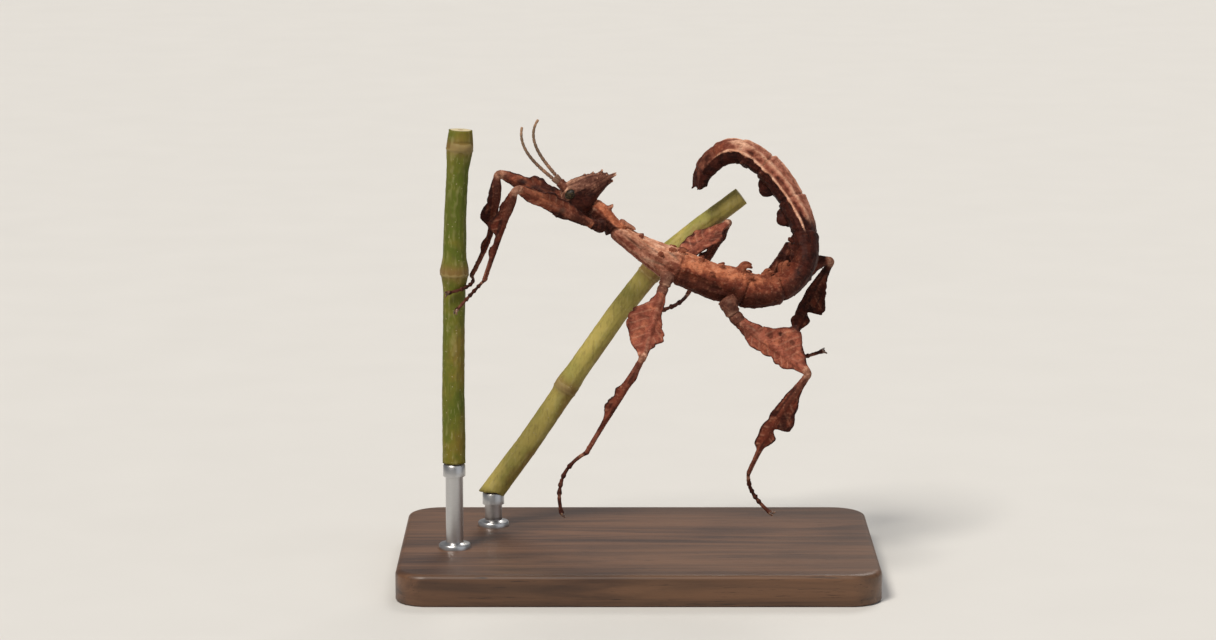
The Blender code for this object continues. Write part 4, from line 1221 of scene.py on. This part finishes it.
def add_sawn_end(heap, rim, way):
    """Add a shallow disc of bare wood over a twig's sawn end, with rings from pith to bark."""
    centre = rim.mean(axis=0)
    shares = np.concatenate([[1.0], np.linspace(0.93, 0.02, 16)])
    lift = np.concatenate([[-0.25], 0.03 * np.ones(16)])
    grid = centre + (rim - centre) * (shares * 0.97)[:, None, None] + way * lift[:, None, None]
    heap.loft(grid[::-1] if way[2] < 0 else grid, pale=np.ones(17)[:, None], rosy=shares[:, None])


def rounded_slab(low, high, corner, edge, steps):
    """Give the rings of a slab with round corners and a rounded top edge."""
    centre = (low + high) / 2
    half = (high - low) / 2
    turns = full_turn(4 * steps) + math.pi / (4 * steps)
    signs = np.stack([np.sign(np.cos(turns)), np.sign(np.sin(turns))], axis=-1)
    arcs = np.stack([np.cos(turns), np.sin(turns)], axis=-1) * corner
    outline = signs * (half[:2] - corner) + arcs
    rings = []
    profile = [(0.25, low[2]), (0.0, low[2] + 0.25)]
    profile += [(edge * (1 - math.cos(turn)), high[2] - edge + edge * math.sin(turn))
                for turn in np.linspace(0, math.pi / 2, 9)]
    profile += [(edge + 2.0, high[2]), (edge + 8.0, high[2]), (edge + 14.0, high[2])]
    for inset, height in profile:
        scale = 1 - inset / half[:2]
        ring = outline * scale + centre[:2]
        rings.append(np.column_stack([ring, np.full(len(ring), height)]))
    return np.array(rings)


def add_stand():
    """Make the wooden base and the two steel rods with their collars."""
    low, high = (np.array(corner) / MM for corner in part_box("stand_base"))
    heap = Heap()
    heap.loft(rounded_slab(low, high, BASE_CORNER, BASE_EDGE, 24))
    board = heap.mesh("stand_base_board")
    add_piece("stand_base_board", board, wood_finish(), ["stand_base"])
    steel = steel_finish()
    out = ways_out(np.array([[1.0, 0.0, 0.0]]), np.array([[0.0, 1.0, 0.0]]), full_turn(64))
    for node in ("stand_rod_stem", "stand_rod_branch"):
        foot, top = (np.array(corner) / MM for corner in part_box(node))
        radius, tall = (top - foot)[0] / 2, top[2] - foot[2]
        profile = [(rise, radius + more) for rise, more in ROD_FLANGE]
        profile += [(share * tall, radius) for share in ROD_SHAFT]
        profile += [(tall - drop, radius + more) for drop, more in ROD_COLLAR]
        rises, sizes = np.array(profile).T
        places = np.tile((foot + top) / 2, (len(rises), 1))
        places[:, 2] = foot[2] - 0.1 + rises
        heap = Heap()
        heap.loft(places[:, None, :] + out * sizes[:, None, None])
        mesh = heap.mesh(node + "_turned")
        add_piece(node + "_turned", mesh, steel, [node])
        mesh.set_sharp_from_angle(angle=math.radians(40))


# ---------------------------------------------------------------- finishes

class Wire:
    """One output of a shader node. Python's arithmetic on it adds Math nodes."""

    def __init__(self, board, socket):
        self.board = board
        self.socket = socket

    def _math(self, operation, first, second):
        return self.board.node("ShaderNodeMath", {"operation": operation}, {0: first, 1: second})

    def __add__(self, other):
        return self._math("ADD", self, other)

    def __radd__(self, other):
        return self._math("ADD", other, self)

    def __sub__(self, other):
        return self._math("SUBTRACT", self, other)

    def __rsub__(self, other):
        return self._math("SUBTRACT", other, self)

    def __mul__(self, other):
        return self._math("MULTIPLY", self, other)

    def __rmul__(self, other):
        return self._math("MULTIPLY", other, self)


class Board:
    """The nodes of one finish."""

    def __init__(self, name, **constants):
        self.material = bpy.data.materials.new(name)
        self.material.use_nodes = True
        self.tree = self.material.node_tree
        self.shader = self.tree.nodes["Principled BSDF"]
        for socket, value in constants.items():
            self.shader.inputs[socket.replace("_", " ")].default_value = value

    def node(self, kind, settings=None, inputs=None, output=0):
        """Add a node, set it up, feed its sockets and give one of its outputs."""
        made = self.tree.nodes.new(kind)
        for name, value in (settings or {}).items():
            setattr(made, name, value)
        for key, value in (inputs or {}).items():
            if isinstance(value, Wire):
                self.tree.links.new(value.socket, made.inputs[key])
            else:
                made.inputs[key].default_value = value
        return Wire(self, made.outputs[output])

    def mark(self, name):
        """Read one of the mesh's marks."""
        return self.node("ShaderNodeAttribute", {"attribute_name": name}, output="Fac")

    def place(self):
        """Read the place on the model, in metres."""
        return self.node("ShaderNodeTexCoord", output="Object")

    def stretched(self, place, scale):
        """Stretch a place along the three axes."""
        return self.node("ShaderNodeVectorMath", {"operation": "MULTIPLY"}, {0: place, 1: scale})

    def noise(self, place, scale, detail=3.0, roughness=0.55, distortion=0.0):
        """Give a cloudy field, whose lumps are about one over the scale in metres."""
        inputs = {"Vector": place, "Scale": scale, "Detail": detail, "Roughness": roughness,
                  "Distortion": distortion}
        return self.node("ShaderNodeTexNoise", {}, inputs)

    def spots(self, place, scale):
        """Give the distance to the nearest of many scattered spots."""
        inputs = {"Vector": place, "Scale": scale}
        return self.node("ShaderNodeTexVoronoi", {"feature": "F1"}, inputs)

    def between(self, value, low, high):
        """Go smoothly from 0 to 1 as a value goes from low to high."""
        inputs = {"Value": value, "From Min": low, "From Max": high}
        return self.node("ShaderNodeMapRange", {"interpolation_type": "SMOOTHSTEP"}, inputs)

    def mix(self, share, first, second):
        """Mix two colours by a share."""
        inputs = {0: share, 6: self.colour(first), 7: self.colour(second)}
        return self.node("ShaderNodeMix", {"data_type": "RGBA"}, inputs, output=2)

    def layered(self, colour, *layers):
        """Lay colours over a first one, each by its own share."""
        for share, tone in layers:
            colour = self.mix(share, colour, tone)
        return colour

    @staticmethod
    def colour(value):
        """Give a plain colour its fourth number."""
        return value if isinstance(value, Wire) else (*value, 1.0)

    def finish(self, **sockets):
        """Feed the shader's sockets, and give the material."""
        for name, wire in sockets.items():
            self.tree.links.new(wire.socket, self.shader.inputs[name.replace("_", " ")])
        return self.material

    def bump(self, height, strength, distance):
        """Turn a height into small relief."""
        inputs = {"Strength": strength, "Distance": distance, "Height": height}
        return self.node("ShaderNodeBump", {}, inputs, output="Normal")


# the darker and the lighter shade of each of the cuticle's colours
CUTICLE_TONES = {
    "brown": ((0.098, 0.018, 0.009), (0.185, 0.043, 0.021)),
    "grey": ((0.085, 0.032, 0.022), (0.20, 0.090, 0.060)),
    "rosy": ((0.205, 0.052, 0.031), (0.345, 0.100, 0.060)),
    "tan": ((0.33, 0.092, 0.042), (0.54, 0.185, 0.092)),
    "dark": ((0.016, 0.0034, 0.0024), (0.046, 0.0090, 0.0052)),
    "pale": ((0.58, 0.28, 0.17), (0.76, 0.45, 0.31)),
}


def cuticle_finish():
    """The insect's skin: dry bark brown, with tan, maroon, rosy and grey parts and fine specks;
    part of the tan and the maroon is painted light and shade.
    """
    board = Board("insect_cuticle", IOR=1.4, Specular_IOR_Level=0.14)
    place = board.place()
    mottle = board.noise(place, 900, 4, 0.6, 0.4)
    fleck = board.noise(place, 3600, 3, 0.65)
    grain = board.noise(place, 8000, 3, 0.6)
    fibre = board.noise(board.stretched(place, (0.35, 1.0, 1.0)), 4200, 3, 0.6)
    tan, dark, pale, rosy, grey, vein = (board.mark(name) for name in MARKS)
    bead = board.mark("bead")
    patchy = board.between(mottle, 0.38, 0.62)
    stray = mottle - 0.5
    tones = {name: board.mix(patchy, *pair) for name, pair in CUTICLE_TONES.items()}
    colour = board.layered(
        tones["brown"],
        (grey * 0.9, tones["grey"]),
        (rosy, tones["rosy"]),
        (board.between(tan + stray * 0.5, 0.08, 0.8), tones["tan"]),
        (board.between(dark + stray * 0.4, 0.05, 0.95), tones["dark"]),
        (board.between(pale + stray * 0.4, 0.12, 0.9), tones["pale"]),
        (board.between(fleck, 0.60, 0.70) * (0.30 + 0.3 * grey) * (1 - dark), (0.56, 0.32, 0.21)),
        (board.between(fleck, 0.42, 0.33) * (0.55 - 0.2 * dark), (0.040, 0.011, 0.007)),
        (board.between(fibre, 0.52, 0.36) * 0.35, (0.085, 0.024, 0.014)),
        (bead * (0.28 - 0.12 * rosy) * (1 - 0.85 * dark), (0.52, 0.24, 0.14)),
        (vein * 0.3 * (1 - dark), (0.56, 0.28, 0.18)),
    )
    roughness = 0.70 - 0.12 * dark + 0.22 * (grain - 0.5)
    normal = board.bump(grain * 0.5 + fleck * 0.8 + fibre * 0.5, 0.55, 0.00006)
    return board.finish(Base_Color=colour, Roughness=roughness, Normal=normal)


def eye_finish():
    """The compound eye: blackish green with brown flecks and a fine field of facets."""
    board = Board("insect_eye", IOR=1.4, Specular_IOR_Level=0.28)
    place = board.place()
    cloudy = board.noise(place, 1500, 3, 0.5)
    facets = board.spots(place, 13000.0)
    fleck = board.noise(place, 4200, 2, 0.5)
    colour = board.layered(
        (0.007, 0.005, 0.003),
        (board.between(cloudy, 0.35, 0.65), (0.034, 0.021, 0.009)),
        (board.between(fleck, 0.60, 0.72) * 0.6, (0.13, 0.10, 0.035)),
    )
    normal = board.bump(facets, 0.35, 0.00002)
    return board.finish(Base_Color=colour, Roughness=0.36 + 0.2 * facets, Normal=normal)


def feeler_finish():
    """The feelers: brown joints of uneven tone with pale ends."""
    board = Board("insect_feelers", IOR=1.45)
    place = board.place()
    fleck = board.noise(place, 5200, 3, 0.6)
    dark, pale = board.mark("dark"), board.mark("pale")
    colour = board.layered(
        (0.27, 0.135, 0.08),
        (board.between(dark, 0.0, 0.75), (0.045, 0.019, 0.013)),
        (pale * 0.45, (0.46, 0.30, 0.17)),
        (board.between(fleck, 0.58, 0.7) * 0.4, (0.50, 0.32, 0.2)),
    )
    normal = board.bump(fleck, 0.4, 0.00004)
    return board.finish(Base_Color=colour, Roughness=0.55 + 0.15 * fleck, Normal=normal)


def claw_finish():
    """The claws: dark amber horn."""
    board = Board("insect_claws", IOR=1.5, Coat_Weight=0.4, Coat_Roughness=0.2)
    place = board.place()
    cloudy = board.noise(place, 2600, 3, 0.5)
    share = board.between(cloudy, 0.35, 0.65)
    colour = board.mix(share, (0.045, 0.016, 0.008), (0.16, 0.07, 0.03))
    normal = board.bump(cloudy, 0.3, 0.00003)
    return board.finish(Base_Color=colour, Roughness=0.28 + 0.2 * cloudy, Normal=normal)


def bark_finish(name, young, old, blush):
    """The bark of a green twig, browner at its nodes, with pale specks and sawn ends."""
    board = Board(name, IOR=1.45, Specular_IOR_Level=0.25)
    place = board.place()
    long_grain = board.noise(board.stretched(place, (1.0, 1.0, 0.22)), 2600, 4, 0.6)
    cloudy = board.noise(place, 240, 4, 0.55, 0.3)
    speck = board.spots(place, 1500.0)
    node_tint, bare, ring = board.mark("tan"), board.mark("pale"), board.mark("rosy")
    up, ridge = board.mark("grey"), board.mark("vein")
    wood = board.layered(
        (0.30, 0.20, 0.10),
        (board.between(ring + (long_grain - 0.5) * 0.12, 0.2, 0.3), (0.60, 0.50, 0.30)),
        (board.between(ring, 0.86, 0.93), (0.20, 0.18, 0.06)),
    )
    colour = board.layered(
        young,
        (board.between(cloudy, 0.36, 0.64), old),
        (board.between(cloudy + (0.5 - up) * 0.5, 0.5, 0.85) * 0.75, blush),
        (board.between(long_grain, 0.5, 0.34) * 0.35, (0.10, 0.075, 0.022)),
        (board.between(long_grain, 0.56, 0.72) * 0.3, (0.48, 0.42, 0.20)),
        (node_tint * 0.75, (0.20, 0.105, 0.035)),
        (board.between(ridge, 0.55, 0.9) * 0.2, (0.50, 0.42, 0.20)),
        (board.between(speck, 0.16, 0.06) * 0.55, (0.42, 0.34, 0.20)),
        (board.between(bare, 0.4, 0.6), wood),
    )
    roughness = 0.5 + 0.25 * long_grain
    normal = board.bump(long_grain + 0.4 * speck, 0.4, 0.00009)
    return board.finish(Base_Color=colour, Roughness=roughness, Normal=normal)


def wood_finish():
    """The base: dark oiled walnut with long grain and small pores."""
    board = Board("stand_walnut", IOR=1.45, Coat_Weight=0.12, Coat_Roughness=0.3)
    place = board.place()
    drift = board.noise(place, 45, 3, 0.5)
    lines = board.stretched(place, (9.0, 150.0, 150.0))
    figure = board.noise(lines, 2.2, 5, 0.6, 1.2)
    pores = board.noise(board.stretched(place, (0.06, 1.0, 1.0)), 3800, 3, 0.7)
    colour = board.layered(
        (0.045, 0.020, 0.010),
        (board.between(figure, 0.32, 0.68), (0.150, 0.070, 0.034)),
        (board.between(drift, 0.35, 0.7) * 0.35, (0.15, 0.075, 0.035)),
        (board.between(pores, 0.60, 0.70) * 0.7, (0.018, 0.009, 0.006)),
    )
    normal = board.bump(1 - pores, 0.25, 0.0001)
    return board.finish(Base_Color=colour, Roughness=0.36 + 0.2 * pores, Normal=normal)


def steel_finish():
    """The rods: brushed stainless steel."""
    board = Board("stand_steel", Metallic=1.0)
    place = board.place()
    brushed = board.noise(board.stretched(place, (1.0, 1.0, 14.0)), 900, 4, 0.6)
    smudge = board.noise(place, 160, 3, 0.5)
    colour = board.mix(brushed, (0.46, 0.46, 0.47), (0.62, 0.61, 0.60))
    roughness = 0.22 + 0.16 * brushed + 0.08 * smudge
    normal = board.bump(brushed, 0.15, 0.00003)
    return board.finish(Base_Color=colour, Roughness=roughness, Normal=normal)


def floor_finish():
    """A plain pale studio floor."""
    board = Board("studio_floor")
    tooth = board.noise(board.place(), 60, 3, 0.5)
    colour = board.mix(tooth, (0.63, 0.615, 0.59), (0.665, 0.65, 0.625))
    return board.finish(Base_Color=colour, Roughness=0.75 + 0.1 * tooth)


# ---------------------------------------------------------------- studio

# The camera looks at the animal's left side from a little above.
# the place it looks at and how far off it stands, how far it looks down, and its lens
CAMERA_TARGET = (-3.78, -3.5, 33.0)
CAMERA_DISTANCE = 456.0
CAMERA_DIP = 10.0
CAMERA_LENS = 108.0
# half the floor's width, in metres
FLOOR_REACH = 3.0
# colour and strength of the light from all round
AIR_COLOUR = (0.93, 0.95, 1.0, 1.0)
AIR_STRENGTH = 0.2
# name, heading and rise of where the light comes from, strength, softness in degrees, colour
LIGHTS = [
    ("key", -125, 52, 3.1, 18, (1.0, 0.95, 0.87)),
    ("fill", -35, 22, 0.4, 60, (0.90, 0.95, 1.0)),
    ("rim", 70, 48, 0.9, 25, (1.0, 0.97, 0.93)),
]


def add_floor():
    """Lay the plain floor under the model."""
    signs = ((-1, -1), (1, -1), (1, 1), (-1, 1))
    corners = [(FLOOR_REACH * along, FLOOR_REACH * across, 0) for along, across in signs]
    mesh = bpy.data.meshes.new("studio_floor")
    mesh.from_pydata(corners, [], [(0, 1, 2, 3)])
    mesh.materials.append(floor_finish())
    floor = bpy.data.objects.new("studio_floor", mesh)
    floor.location.z = solid_box[0].z
    bpy.context.scene.collection.objects.link(floor)


def add_lights():
    """Light the model softly from the upper left, with a fill and a rim light."""
    for name, heading, rise, strength, softness, colour in LIGHTS:
        lamp = bpy.data.lights.new(name, "SUN")
        lamp.energy = strength
        lamp.angle = math.radians(softness)
        lamp.color = colour
        holder = bpy.data.objects.new(name, lamp)
        way = Vector(direction(heading, rise))
        holder.location = way
        holder.rotation_euler = way.to_track_quat("Z", "Y").to_euler()
        bpy.context.scene.collection.objects.link(holder)
    world = bpy.data.worlds.new("studio_air")
    world.use_nodes = True
    background = world.node_tree.nodes["Background"]
    background.inputs["Color"].default_value = AIR_COLOUR
    background.inputs["Strength"].default_value = AIR_STRENGTH
    bpy.context.scene.world = world


def add_camera():
    """Set the camera in front of the animal's left side."""
    lens = bpy.data.cameras.new("camera")
    lens.lens = CAMERA_LENS
    lens.clip_start = 0.01
    lens.clip_end = 20.0
    camera = bpy.data.objects.new("camera", lens)
    way = Vector(direction(-90, CAMERA_DIP))
    camera.location = (Vector(CAMERA_TARGET) + way * CAMERA_DISTANCE) * MM
    camera.rotation_euler = (math.radians(90 - CAMERA_DIP), 0.0, 0.0)
    bpy.context.scene.collection.objects.link(camera)
    bpy.context.scene.camera = camera
    bpy.context.scene.view_settings.view_transform = "Standard"


def main():
    add_camera()
    add_skin()
    add_eyes()
    add_feelers()
    add_claws()
    stem = bark_finish("stem_bark", *STEM_TONES)
    branch = bark_finish("branch_bark", *BRANCH_TONES)
    add_twig("perch_stem", STEM_LINE, stem, STEM_SCARS, 91)
    add_twig("perch_branch", BRANCH_LINE, branch, BRANCH_SCARS, 95)
    add_stand()
    add_floor()
    add_lights()


main()
